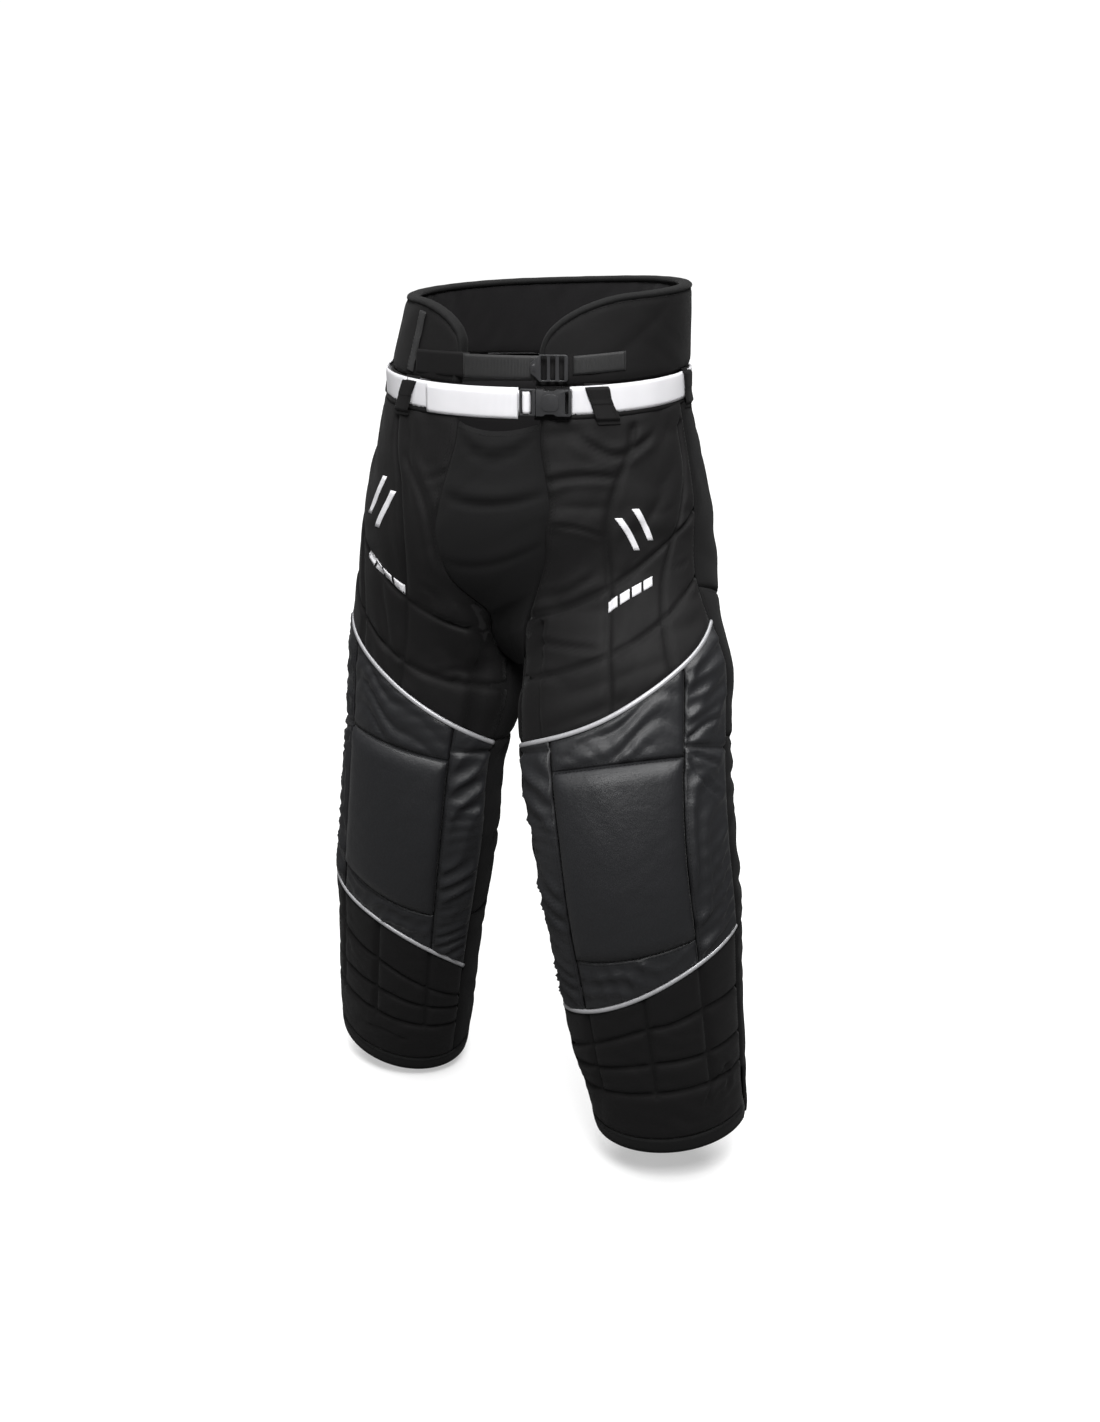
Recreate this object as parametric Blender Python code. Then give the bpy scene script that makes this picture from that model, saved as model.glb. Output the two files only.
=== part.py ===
"""Padded ice-sports pants: collar, belt, trunk and two legs, as separate sewn and moulded pieces.

Frame: origin at the centre of the waist on the belt line, +Z up, the wearer faces -Y, and the
wearer's left is +X. The pants stand as on a wearer in a half stride, left leg forward.

A leg's surface is addressed by (phi, s): s is the distance down the leg's centreline from the belt
line, and phi the angle round it, in degrees, from the front (0) over the outer side (90), the back
(180) and the inner side (270, the same as -90).
"""

from math import cos, hypot, pi, radians, sin, sqrt

import bmesh
import bpy
from mathutils import Matrix, Vector

# ---- driving dimensions, in metres ---------------------------------------------------------------
HIP_DROP = 0.09        # belt line to the leg's hip point
THIGH = 0.42           # hip point to knee
SHIN = 0.40            # knee to the end of the leg's frame
KNEE_S = HIP_DROP + THIGH
ANKLE_S = KNEE_S + SHIN
HEM_S = 0.915          # lower edge of the hem band
BEND_BLUR = 0.07       # half length over which the centreline rounds each bend
SPLIT = (0.16, 0.34)   # the trunk's section turns into the leg's section between these
SEAT_DRAPE = 0.11      # how much further down that change ends behind the thigh

# height, half width and half depth of the trunk
TRUNK = ((0.125, 0.160, 0.112), (0.0, 0.1765, 0.129), (-0.13, 0.2055, 0.149), (-0.22, 0.2186, 0.141),
         (-0.34, 0.226, 0.130))
# the wearer's stance: hip, knee and ankle points of each leg, and how far the toes turn out
LEFT, RIGHT = 1, -1
SIDES = (("left", LEFT), ("right", RIGHT))
HIP = {LEFT: (0.105, -0.004, -0.09), RIGHT: (-0.105, 0.004, -0.09)}
KNEE = {LEFT: (0.159, -0.150, -0.474), RIGHT: (-0.153, -0.019, -0.509)}
ANKLE = {LEFT: (0.194, -0.075, -0.861), RIGHT: (-0.220, 0.084, -0.889)}
TOE_OUT = {LEFT: 14.0, RIGHT: 18.3}

# distance down each leg, half depth, and half width to the outer and to the inner side
GIRTH = {
    LEFT: ((0.20, 0.092, 0.109, 0.106), (0.27, 0.090, 0.119, 0.1125), (0.32, 0.0885, 0.1185, 0.1185),
           (0.36, 0.0867, 0.1155, 0.1255), (0.44, 0.082, 0.1125, 0.125), (0.51, 0.079, 0.1135, 0.117),
           (0.61, 0.080, 0.1125, 0.1135), (0.71, 0.079, 0.105, 0.1095), (0.79, 0.078, 0.1005, 0.1085),
           (0.86, 0.0775, 0.0965, 0.099), (0.92, 0.077, 0.0935, 0.0950)),
    RIGHT: ((0.20, 0.092, 0.106, 0.106), (0.30, 0.0895, 0.107, 0.113), (0.35, 0.0873, 0.105, 0.121),
            (0.44, 0.082, 0.101, 0.113), (0.51, 0.079, 0.103, 0.1165), (0.57, 0.0795, 0.103, 0.114),
            (0.615, 0.080, 0.107, 0.111), (0.66, 0.0795, 0.110, 0.107), (0.71, 0.079, 0.106, 0.1035),
            (0.85, 0.078, 0.0995, 0.0985), (0.92, 0.077, 0.0930, 0.0945)),
}

# seams, as angles round the leg
INNER_SEAM = -84.0
OUTER_SEAM = 74.0
PAD_INNER = -57.0
PAD_OUTER = 40.0
CENTRE_BACK = 219.0
PAD_TOP_S = {LEFT: 0.441, RIGHT: 0.431}       # at the pad's inner side
PAD_BOTTOM_S = {LEFT: 0.640, RIGHT: 0.630}
PAD_SLOPE = (0.011, 0.022)                    # how much higher its outer side's two ends are
# s at the inner seam, rise to the outer seam, and its power: the left knee is the more bent one
UPPER_PIPING = {LEFT: (0.409, 0.133, 2.1), RIGHT: (0.407, 0.123, 1.0)}
# s at the outer seam, even fall to the inner seam, and the extra fall near the inner seam
LOWER_PIPING = {LEFT: (0.630, 0.100, 0.0), RIGHT: (0.653, 0.006, 0.072)}
YOKE_S = 0.235         # the seat's lower seam
KNEE_BACK_S = (0.405, 0.640)
VENT_TOP_S = 0.832
VENT_END = 81.0        # the vent runs from the outer seam to this angle

# thicknesses of the soft layers, measured inwards from the outer surface
COVER = 0.0030
FOAM_FROM, FOAM_TO = 0.0070, 0.0170
PAD_RISE = 0.009       # how far the knee pad stands proud
SEAM_GAP = 0.0020      # clear distance kept between two pieces that are sewn edge to edge
PIPING_WIDTH = 0.009
HEM_BAND = 0.020

# waist
COLLAR_HEIGHT = 0.12   # height at which the collar's ring below is stated
COLLAR_RING = (0.0165, 0.160, 0.118)   # centre x, half width, half depth at that height
WING_EDGE = {LEFT: 13.0, RIGHT: 20.0}  # where each collar wing ends, as an angle from the front
WING_CORNER = 35.0     # angle over which the wing's corner rounds off
COLLAR_TILT = 0.0055   # how far the upper edge is raised at the left side, and lowered at the right
BELT = 0.030           # webbing width of the belt
STRAP = 0.025          # webbing width of the collar strap
WEBBING = 0.0018
STRAP_Z = 0.033
BUCKLE_ANGLE = 13.0    # where the side-release buckle's halves meet, from the front
LOCK_ANGLE = 17.0      # middle of the ladder-lock buckle
# each belt loop's middle, its half width, and how far it leans, as angles
LOOPS = (("left_front", 36.2, 4.4, 5.4), ("left_side", 86.0, 5.5, 3.0), ("left_back", 142.0, 5.0, 3.0),
         ("right_front", -43.2, 4.6, -4.0), ("right_side", -88.0, 5.0, -3.0),
         ("right_back", -142.0, 5.0, -3.0))

COLOURS = {
    "microfibre": ((0.012, 0.012, 0.013), 0.85),
    "stretch": ((0.016, 0.016, 0.017), 0.90),
    "satin_nylon": ((0.022, 0.022, 0.024), 0.45),
    "lining": ((0.020, 0.020, 0.021), 0.90),
    "foam": ((0.10, 0.10, 0.11), 0.95),
    "binding": ((0.010, 0.010, 0.011), 0.70),
    "black_webbing": ((0.018, 0.018, 0.018), 0.60),
    "white_webbing": ((0.80, 0.80, 0.80), 0.65),
    "buckle_plastic": ((0.012, 0.012, 0.012), 0.35),
    "reflective": ((0.42, 0.42, 0.43), 0.40),
}


# ---- small tools -------------------------------------------------------------------------------
def smooth(x):
    """0 below 0, 1 above 1, and an S curve between."""
    x = min(max(x, 0.0), 1.0)
    return x * x * (3 - 2 * x)


def read_rows(rows, x):
    """The rows' values at x: a smooth curve through rows of (x, value, ...), held beyond its ends."""
    rows = sorted(rows)
    x = min(max(x, rows[0][0]), rows[-1][0])
    i = max(k for k in range(len(rows) - 1) if rows[k][0] <= x)
    before, start, end, after = rows[max(i - 1, 0)], rows[i], rows[i + 1], rows[min(i + 2, len(rows) - 1)]
    span = end[0] - start[0]
    u = (x - start[0]) / span
    values = []
    for k in range(1, len(start)):
        slope_in = (end[k] - before[k]) / (end[0] - before[0]) * span
        slope_out = (after[k] - start[k]) / (after[0] - start[0]) * span
        values.append(start[k] * (1 + 2 * u) * (1 - u) ** 2 + slope_in * u * (1 - u) ** 2
                      + end[k] * u * u * (3 - 2 * u) + slope_out * u * u * (u - 1))
    return values


def material(slot):
    found = bpy.data.materials.get(slot)
    if found:
        return found
    colour, roughness = COLOURS[slot]
    found = bpy.data.materials.new(slot)
    found.use_nodes = True
    shader = found.node_tree.nodes["Principled BSDF"]
    shader.inputs["Base Color"].default_value = (*colour, 1)
    shader.inputs["Roughness"].default_value = roughness
    shader.inputs["Metallic"].default_value = 0.0
    found.diffuse_color = (*colour, 1)
    return found


def finish(name, mesh, slot, origin=None, is_round=True):
    """Makes the bmesh an object, with its faces out and its origin where it's asked."""
    bmesh.ops.recalc_face_normals(mesh, faces=mesh.faces)
    if mesh.calc_volume(signed=True) < 0:
        bmesh.ops.reverse_faces(mesh, faces=mesh.faces)
    origin = Vector(origin or (0, 0, 0))
    bmesh.ops.translate(mesh, verts=mesh.verts, vec=-origin)
    for face in mesh.faces:
        face.smooth = is_round
    data = bpy.data.meshes.new(name)
    mesh.to_mesh(data)
    mesh.free()
    data.materials.append(material(slot))
    made = bpy.data.objects.new(name, data)
    made.location = origin
    bpy.context.scene.collection.objects.link(made)
    return made


def sheet(name, at, across, down, outer, inner, slot, origin=None):
    """A closed sheet of material: at(u, v, offset) is its surface, and u and v run from 0 to 1."""
    mesh = bmesh.new()
    layers = []
    for offset in (outer, inner):
        layers.append([[mesh.verts.new(at(i / across, j / down, offset)) for i in range(across + 1)]
                       for j in range(down + 1)])
    top, bottom = layers
    for j in range(down):
        for i in range(across):
            mesh.faces.new((top[j][i], top[j][i + 1], top[j + 1][i + 1], top[j + 1][i]))
            mesh.faces.new((bottom[j][i], bottom[j + 1][i], bottom[j + 1][i + 1], bottom[j][i + 1]))
    rim = [(0, i) for i in range(across)] + [(j, across) for j in range(down)]
    rim += [(down, i) for i in range(across, 0, -1)] + [(j, 0) for j in range(down, 0, -1)]
    for (j, i), (jn, i_n) in zip(rim, rim[1:] + rim[:1]):
        mesh.faces.new((top[j][i], bottom[j][i], bottom[jn][i_n], top[jn][i_n]))
    return finish(name, mesh, slot, origin)


# ---- the body that the pants are cut to ----------------------------------------------------------
def centre(side, s):
    """Point of the leg's centreline, with its bends rounded."""
    joints = (Vector((0.095 * side, 0, 0)), Vector(HIP[side]), Vector(KNEE[side]), Vector(ANKLE[side]))
    stations = (0.0, HIP_DROP, KNEE_S, ANKLE_S)

    def straight(at):
        k = 0 if at <= HIP_DROP else 1 if at <= KNEE_S else 2
        return joints[k].lerp(joints[k + 1], (at - stations[k]) / (stations[k + 1] - stations[k]))

    steps = range(-9, 10)
    total = sum((straight(s + BEND_BLUR * k / 9) for k in steps), Vector())
    return total / len(steps)


def leg_frame(side, s):
    """Centre of the leg's section at s, its outward direction and its forward direction."""
    along = (centre(side, s + 0.01) - centre(side, s - 0.01)).normalized()
    toe = radians(TOE_OUT[side]) * min(max((s - 0.05) / 0.3, 0), 1)
    level_front = Vector((side * sin(toe), -cos(toe), 0))
    level_out = Vector((side * cos(toe), sin(toe), 0))
    front = (level_front - along * level_front.dot(along)).normalized()
    out = front.cross(along)
    if out.x * side < 0:
        out.negate()
    tilted = smooth((s - 0.06) / 0.20)
    front = level_front.lerp(front, tilted).normalized()
    out = level_out.lerp(out, tilted)
    out = (out - front * out.dot(front)).normalized()
    return centre(side, s), out, front


def trunk_reach(side, s, middle, ray):
    """Distance from the leg's centre to the trunk's outline along ray, stopped at the body's midplane."""
    wide, deep = read_rows(TRUNK, middle.z)
    a = (ray.x / wide) ** 2 + (ray.y / deep) ** 2
    b = 2 * (middle.x * ray.x / wide**2 + middle.y * ray.y / deep**2)
    c = (middle.x / wide) ** 2 + (middle.y / deep) ** 2 - 1
    reach = (-b + sqrt(max(b * b - 4 * a * c, 0))) / (2 * a)
    if ray.x * side < -1e-6:
        reach = min(reach, -middle.x / ray.x)
    return reach


def leg_point(side, phi, s, offset=0.0):
    middle, out, front = leg_frame(side, s)
    ray = out * sin(radians(phi)) + front * cos(radians(phi))
    deep, outer, inner = read_rows(GIRTH[side], s)
    wide = outer if sin(radians(phi)) > 0 else inner
    reach = 1 / hypot(sin(radians(phi)) / wide, cos(radians(phi)) / deep)
    behind = smooth(1 - abs(phi % 360 - 155) / 60)
    split_end = SPLIT[1] + SEAT_DRAPE * behind
    is_leg = smooth((s - SPLIT[0]) / (split_end - SPLIT[0]))
    if is_leg < 1:
        reach = reach * is_leg + trunk_reach(side, s, middle, ray) * (1 - is_leg)
    return middle + ray * (reach + offset)


def waist_point(angle, z, offset=0.0):
    """Point of the waist at an angle from the front, towards the wearer's left."""
    up = max(z, 0) / COLLAR_HEIGHT
    wide, deep = read_rows(TRUNK, min(z, 0))
    wide += (COLLAR_RING[1] - wide) * up + offset
    deep += (COLLAR_RING[2] - deep) * up + offset
    x = COLLAR_RING[0] * up + wide * sin(radians(angle))
    return Vector((x, -deep * cos(radians(angle)), z))


# ---- edges and seams -----------------------------------------------------------------------------
def across_front(phi):
    return (phi - INNER_SEAM) / (OUTER_SEAM - INNER_SEAM)


def upper_piping(side):
    start, rise, power = UPPER_PIPING[side]
    return lambda phi: start - rise * min(max(across_front(phi), 0), 1.05) ** power


def lower_piping(side):
    outer, even, extra = LOWER_PIPING[side]

    def place(phi):
        inward = 1 - across_front(phi)
        return outer + even * inward + extra * max(inward, 0) ** 4
    return place


def pad_ends(side, margin):
    """Top and bottom ends of a piece under the knee's pad cover, inset by a margin."""
    def across(phi):
        return (phi - PAD_INNER) / (PAD_OUTER - PAD_INNER)
    return (lambda phi: PAD_TOP_S[side] + margin - PAD_SLOPE[0] * across(phi),
            lambda phi: PAD_BOTTOM_S[side] - margin - PAD_SLOPE[1] * across(phi))


def panel_top(phi):
    """Where the trunk's panels start, just under the waistband."""
    return 0.0122 + 0.0171 * max(cos(radians(0.9 * phi + 20)), 0)


# the gusset's seam with one leg: angle and distance down, from the front waist under to the back
# (angle on the left leg, angle on the right leg, s): the pants stand with the gusset pulled to the right
GUSSET_SEAM = ((-23.2, -20.5, 0.026), (-25, -19.3, 0.11), (-31, -22, 0.155), (-41, -33, 0.202),
               (-54, -54, 0.238), (-68, -65, 0.270), (-80, -78, 0.295), (-95, -95, 0.312),
               (-113, -113, 0.300), (-127, -127, 0.265), (-136, -136, 0.225), (-140, -140, 0.195))
GUSSET_LOWEST, GUSSET_BEHIND = 7 / 11, 8 / 11   # v at the gusset's lowest point, and where it rises behind


def gusset_seam(side, v):
    """(phi, s) on the gusset's seam with a leg, v from 0 at the front waist to 1 at the back."""
    last = len(GUSSET_SEAM) - 1
    rows = [(k / last, left if side == LEFT else right, s) for k,
             (left, right, s) in enumerate(GUSSET_SEAM)]
    return read_rows(rows, v)


def seam_rows(side, start, end):
    """The gusset's seam with a leg as rows of (s, phi), for v from start to end."""
    places = [gusset_seam(side, start + (end - start) * k / 24) for k in range(25)]
    return [(s, phi) for phi, s in places]


def front_inner_edge(side):
    """Inner edge of a leg's front panel: the gusset's seam, then the inner seam."""
    rows = seam_rows(side, 0, GUSSET_LOWEST)
    return lambda s: max(read_rows(rows, s)[0], INNER_SEAM) + 0.9


def back_inner_edge(side):
    """Inner edge of a leg's back panel: the centre back, the gusset's seam, then the inner seam."""
    rows = [(0.0, CENTRE_BACK - 2)] + [(s, phi + 360) for s, phi in seam_rows(side, 1, GUSSET_BEHIND)]
    to_inner_seam = INNER_SEAM + 360 - rows[-1][1]

    def edge(s):
        joined = read_rows(rows, s)[0] + to_inner_seam * smooth((s - 0.300) / 0.02)
        return min(joined, INNER_SEAM + 360) - 0.9
    return edge


# ---- builders of leg pieces ----------------------------------------------------------------------
def leg_piece(name, side, edges, ends, grid, depth, slot, crown=0.0):
    """A piece of a leg between two angles and two distances, each of them a number or a function.

    edges are functions of s, ends are functions of phi, and crown raises the middle of the piece.
    """
    low, high = (edge if callable(edge) else (lambda s, edge=edge: edge) for edge in edges)
    top, bottom = (end if callable(end) else (lambda phi, end=end: end) for end in ends)

    def at(u, v, offset):
        near_bottom = low(0.45) + (high(0.45) - low(0.45)) * u
        s_top = top(near_bottom)
        s = s_top + (bottom(near_bottom) - s_top) * v
        phi = low(s) + (high(s) - low(s)) * u
        raised = crown * min(1, 6 * min(u, 1 - u)) * min(1, 6 * min(v, 1 - v)) if offset > -COVER else 0
        return leg_point(side, phi, s, offset + raised)

    return sheet(name, at, grid[0], grid[1], depth[0], depth[1], slot)


def inset(function, by):
    return lambda value: function(value) + by


def thigh(word, side):
    cover, foam = (0, -COVER), (-FOAM_FROM, -FOAM_TO)
    down_to = inset(upper_piping(side), -PIPING_WIDTH / 2 - SEAM_GAP / 2)
    inner_edge = front_inner_edge(side)
    leg_piece(f"{word}_thigh_front_panel", side, (inner_edge, OUTER_SEAM - 0.9), (panel_top, down_to),
              (9, 10), cover, "microfibre")
    leg_piece(f"{word}_thigh_foam", side, (lambda s: max(inner_edge(s) + 11, -62), OUTER_SEAM - 12),
              (0.085, inset(upper_piping(side), -0.026)), (7, 8), foam, "foam")
    behind = (OUTER_SEAM + 0.9, back_inner_edge(side))
    leg_piece(f"{word}_seat_panel", side, behind, (panel_top, YOKE_S - SEAM_GAP / 2), (11, 6), cover,
              "stretch")
    leg_piece(f"{word}_thigh_back", side, behind, (YOKE_S + SEAM_GAP / 2, KNEE_BACK_S[0] - SEAM_GAP / 2),
              (11, 5), cover, "stretch")
    leg_piece(f"{word}_hip_pad", side, (OUTER_SEAM + 8, OUTER_SEAM + 62), (0.07, 0.215), (4, 4), foam,
              "foam")


def knee(word, side):
    cover = (0, -COVER)
    gap = SEAM_GAP / 2
    under_piping = inset(upper_piping(side), PIPING_WIDTH / 2 + gap)
    over_piping = inset(lower_piping(side), -PIPING_WIDTH / 2 - gap)
    pad = (PAD_INNER + 0.6, PAD_OUTER - 0.6)
    over_pad, under_pad = pad_ends(side, -gap)
    leg_piece(f"{word}_knee_gusset_upper", side, pad, (under_piping, over_pad), (6, 3), cover,
              "satin_nylon")
    leg_piece(f"{word}_knee_gusset_lower", side, pad, (under_pad, over_piping), (6, 3), cover,
              "satin_nylon")
    leg_piece(f"{word}_knee_pad_cover", side, pad, pad_ends(side, gap), (6, 6), cover, "satin_nylon",
              crown=PAD_RISE)
    leg_piece(f"{word}_knee_pad_foam", side, (PAD_INNER + 4, PAD_OUTER - 4), pad_ends(side, 0.01), (6, 5),
              (-FOAM_FROM, -0.020), "foam")
    leg_piece(f"{word}_knee_bolster_inner", side, (INNER_SEAM + 0.9, PAD_INNER - 0.6),
              (under_piping, over_piping), (2, 8), cover, "satin_nylon")
    leg_piece(f"{word}_knee_bolster_outer", side, (PAD_OUTER + 0.6, OUTER_SEAM - 0.9),
              (under_piping, over_piping), (3, 8), cover, "satin_nylon")
    leg_piece(f"{word}_knee_back", side, (OUTER_SEAM + 0.9, INNER_SEAM + 359.1),
              (KNEE_BACK_S[0] + gap, KNEE_BACK_S[1] - gap), (10, 6), cover, "stretch")


def shin(word, side):
    cover, gap = (0, -COVER), SEAM_GAP / 2
    hem_top = HEM_S - HEM_BAND
    under_piping = inset(lower_piping(side), PIPING_WIDTH / 2 + gap)
    leg_piece(f"{word}_shin_panel", side, (INNER_SEAM + 0.9, OUTER_SEAM - 0.9),
              (under_piping, hem_top - gap), (8, 7), cover, "microfibre")
    leg_piece(f"{word}_shin_foam", side, (INNER_SEAM + 18, OUTER_SEAM - 14),
              (inset(lower_piping(side), 0.022), hem_top - 0.015), (6, 5), (-FOAM_FROM, -FOAM_TO), "foam")

    def calf_edge(s):
        return OUTER_SEAM + 0.9 + (VENT_END - OUTER_SEAM) * smooth((s - VENT_TOP_S) / 0.02)

    leg_piece(f"{word}_calf_back", side, (calf_edge, INNER_SEAM + 359.1),
              (KNEE_BACK_S[1] + gap, hem_top - gap), (10, 7), cover, "stretch")
    leg_piece(f"{word}_hem_band", side, (VENT_END + 0.9, OUTER_SEAM + 359.1), (hem_top + gap, HEM_S),
              (18, 1), (0.0006, -COVER - 0.0004), "binding")


def pipings(word, side):
    for place, curve in (("upper", upper_piping(side)), ("lower", lower_piping(side))):
        ends = (inset(curve, -PIPING_WIDTH / 2), inset(curve, PIPING_WIDTH / 2))
        leg_piece(f"{word}_piping_{place}", side, (INNER_SEAM + 0.9, OUTER_SEAM - 0.9), ends, (9, 1),
                  (0.0010, -0.0012), "reflective")


def gusset():
    """The knitted piece from the front waist through the crotch to the centre back."""
    def across(u, v):
        """Point across the gusset: straight between its seams, with the trunk's roundness added."""
        left, right = (leg_point(side, *gusset_seam(side, v)) for side in (LEFT, RIGHT))
        s = gusset_seam(LEFT, v)[1]
        width = (left - right).length
        u = (0.75 * SEAM_GAP + u * (width - 1.5 * SEAM_GAP)) / width
        bulge = 0.16 * width * (1 - smooth((s - 0.20) / 0.08))
        flat = right.lerp(left, u)
        return flat + Vector((0, -1 if v < 0.6 else 1, 0)) * bulge * 4 * u * (1 - u)

    def at(u, v, offset):
        ahead, behind = across(0.5, min(v + 0.02, 1)), across(0.5, max(v - 0.02, 0))
        run = Vector((0, ahead.y - behind.y, ahead.z - behind.z)).normalized()
        notch = 0.004 * (4 * u * (1 - u)) * (1 - smooth(v / 0.12))
        return across(u, v) + Vector((0, run.z, -run.y)) * offset - Vector((0, 0, notch))

    return sheet("crotch_gusset", at, 6, 20, 0, -COVER, "stretch")


# ---- waist ---------------------------------------------------------------------------------------
def belt_height(angle):
    """Height of the belt's middle, which rises from the front to the sides."""
    return -0.003 + 0.014 * (1 - cos(radians(min(abs(angle), 90))))


def collar_top(angle):
    """Height of the collar's upper edge, with a round corner at the front of each wing."""
    from_edge = abs(angle) - (WING_EDGE[LEFT] if angle > 0 else WING_EDGE[RIGHT])
    corner = 1 - min(max(from_edge, 0), WING_CORNER) / WING_CORNER
    tilt = COLLAR_TILT * sin(radians(angle))
    return 0.0525 + 0.050 * sqrt(1 - corner**2) + 0.014 * smooth(from_edge / 140) + tilt


def waist_piece(name, start, end, heights, grid, depth, slot):
    """A piece of the waist between two angles; heights are two functions of the angle."""
    def at(u, v, offset):
        angle = start + (end - start) * u
        low, high = heights[0](angle), heights[1](angle)
        return waist_point(angle, low + (high - low) * v, offset)

    return sheet(name, at, grid[0], grid[1], depth[0], depth[1], slot)


def collar_angle(u, inset_angle=0.0):
    """Angle round the collar, from the left wing's edge over the back to the right wing's.

    The steps are fine at both wings, where the corner rounds off.
    """
    start, end = WING_EDGE[LEFT] + inset_angle, 360 - WING_EDGE[RIGHT] - inset_angle
    eased = 0.5 - 0.5 * cos(pi * u)
    return start + (end - start) * (0.35 * u + 0.65 * eased)


def collar():
    def signed(angle):
        return angle - 360 if angle > 180 else angle

    def layer(name, inset_angle, low_gap, high_gap, grid, depth, slot):
        def at(u, v, offset):
            angle = collar_angle(u, inset_angle)
            low = belt_height(signed(angle)) + 0.0155 + low_gap
            high = collar_top(signed(angle)) - high_gap
            return waist_point(angle, low + (high - low) * v, offset)
        return sheet(name, at, grid[0], grid[1], depth[0], depth[1], slot)

    layer("collar_outer_shell", 0, 0, 0.004, (34, 4), (0, -0.0022), "microfibre")
    layer("collar_foam", 2.5, 0.004, 0.009, (34, 3), (-0.0032, -0.0100), "foam")
    layer("collar_lining", 0, 0, 0.004, (34, 4), (-0.0112, -0.0130), "lining")

    def binding(u, v, offset):
        angle = collar_angle(u)
        high = collar_top(signed(angle))
        return waist_point(angle, high - 0.0036 + 0.0036 * v, 0.0004 - 0.0138 * offset)
    sheet("collar_binding", binding, 34, 1, 0, 1, "binding")


def waistband():
    def lower(angle):
        return belt_height(angle if angle <= 180 else angle - 360) - 0.0195

    def upper(angle):
        return lower(angle) + 0.0340
    waist_piece("waistband", 12, 346, (lower, upper), (32, 2), (-0.0006, -0.0040), "microfibre")


def belt():
    def run(name, start, end, steps, offset, drop=0.0, width=BELT):
        def low(angle):
            return belt_height(angle if angle <= 180 else angle - 360) - width / 2 - drop
        waist_piece(name, start, end, (low, inset(low, width)), (steps, 1), (offset + WEBBING, offset),
                    "white_webbing")
    run("belt_back_run", 28.5, 317, 30, 0.0005)
    run("belt_front_run", -42.4, 6.6, 8, 0.0005)
    run("belt_tail", -30, 6.6, 6, 0.0028, drop=0.003)


def belt_loops():
    for word, angle, half, lean in LOOPS:
        height = belt_height(angle)

        def at(u, v, offset, angle=angle, lean=lean, half=half, height=height):
            """A bridge over the belt: flat on the waist at both ends, raised between them."""
            lift = 0.0038 * smooth(min(v, 1 - v) / 0.08)
            place = angle + (2 * u - 1) * half + lean * (0.5 - v)
            z = height - 0.0270 + 0.0440 * v
            start = 0.0006 if v < 0.5 else 0.0010
            return waist_point(place, z, start + lift + offset)
        sheet(f"{word}_belt_loop", at, 2, 12, 0.0012, 0, "microfibre")


# ---- buckles -------------------------------------------------------------------------------------
def box_on(mesh, frame, low, high):
    """Adds a box between two corners, in the frame's own coordinates."""
    size = [high[k] - low[k] for k in range(3)]
    middle = [(high[k] + low[k]) / 2 for k in range(3)]
    place = frame @ Matrix.Translation(middle) @ Matrix.Diagonal((*size, 1))
    bmesh.ops.create_cube(mesh, size=1, matrix=place)


def moulded(name, frame, solids, holes, slot, origin, edge=0.0008):
    """A moulded piece: boxes joined, other boxes cut away, and its edges eased."""
    parts = []
    for boxes in (solids, holes):
        for low, high in boxes:
            mesh = bmesh.new()
            box_on(mesh, frame, low, high)
            parts.append((mesh, boxes is holes))
    made = None
    for number, (mesh, is_hole) in enumerate(parts):
        if made is None:
            made = finish(name, mesh, slot, origin, is_round=False)
            continue
        tool = finish(f"{name}_tool_{number}", mesh, slot)
        tool.hide_render = True
        tool.display_type = "WIRE"
        step = made.modifiers.new(f"step_{number}", "BOOLEAN")
        step.operation = "DIFFERENCE" if is_hole else "UNION"
        step.object = tool
    if edge:
        ease = made.modifiers.new("ease", "BEVEL")
        ease.width = edge
        ease.segments = 1
        ease.limit_method = "ANGLE"
    return made


def tangent_frame(angle, z, offset):
    """A frame on the waist: X along the waist to the wearer's left, Y outwards, Z up."""
    here = waist_point(angle, z, offset)
    along = (waist_point(angle + 1, z, offset) - waist_point(angle - 1, z, offset)).normalized()
    along.z = 0
    along.normalize()
    out = Vector((along.y, -along.x, 0))
    turn = Matrix((along, out, Vector((0, 0, 1)))).transposed().to_4x4()
    return Matrix.Translation(here) @ turn


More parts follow.
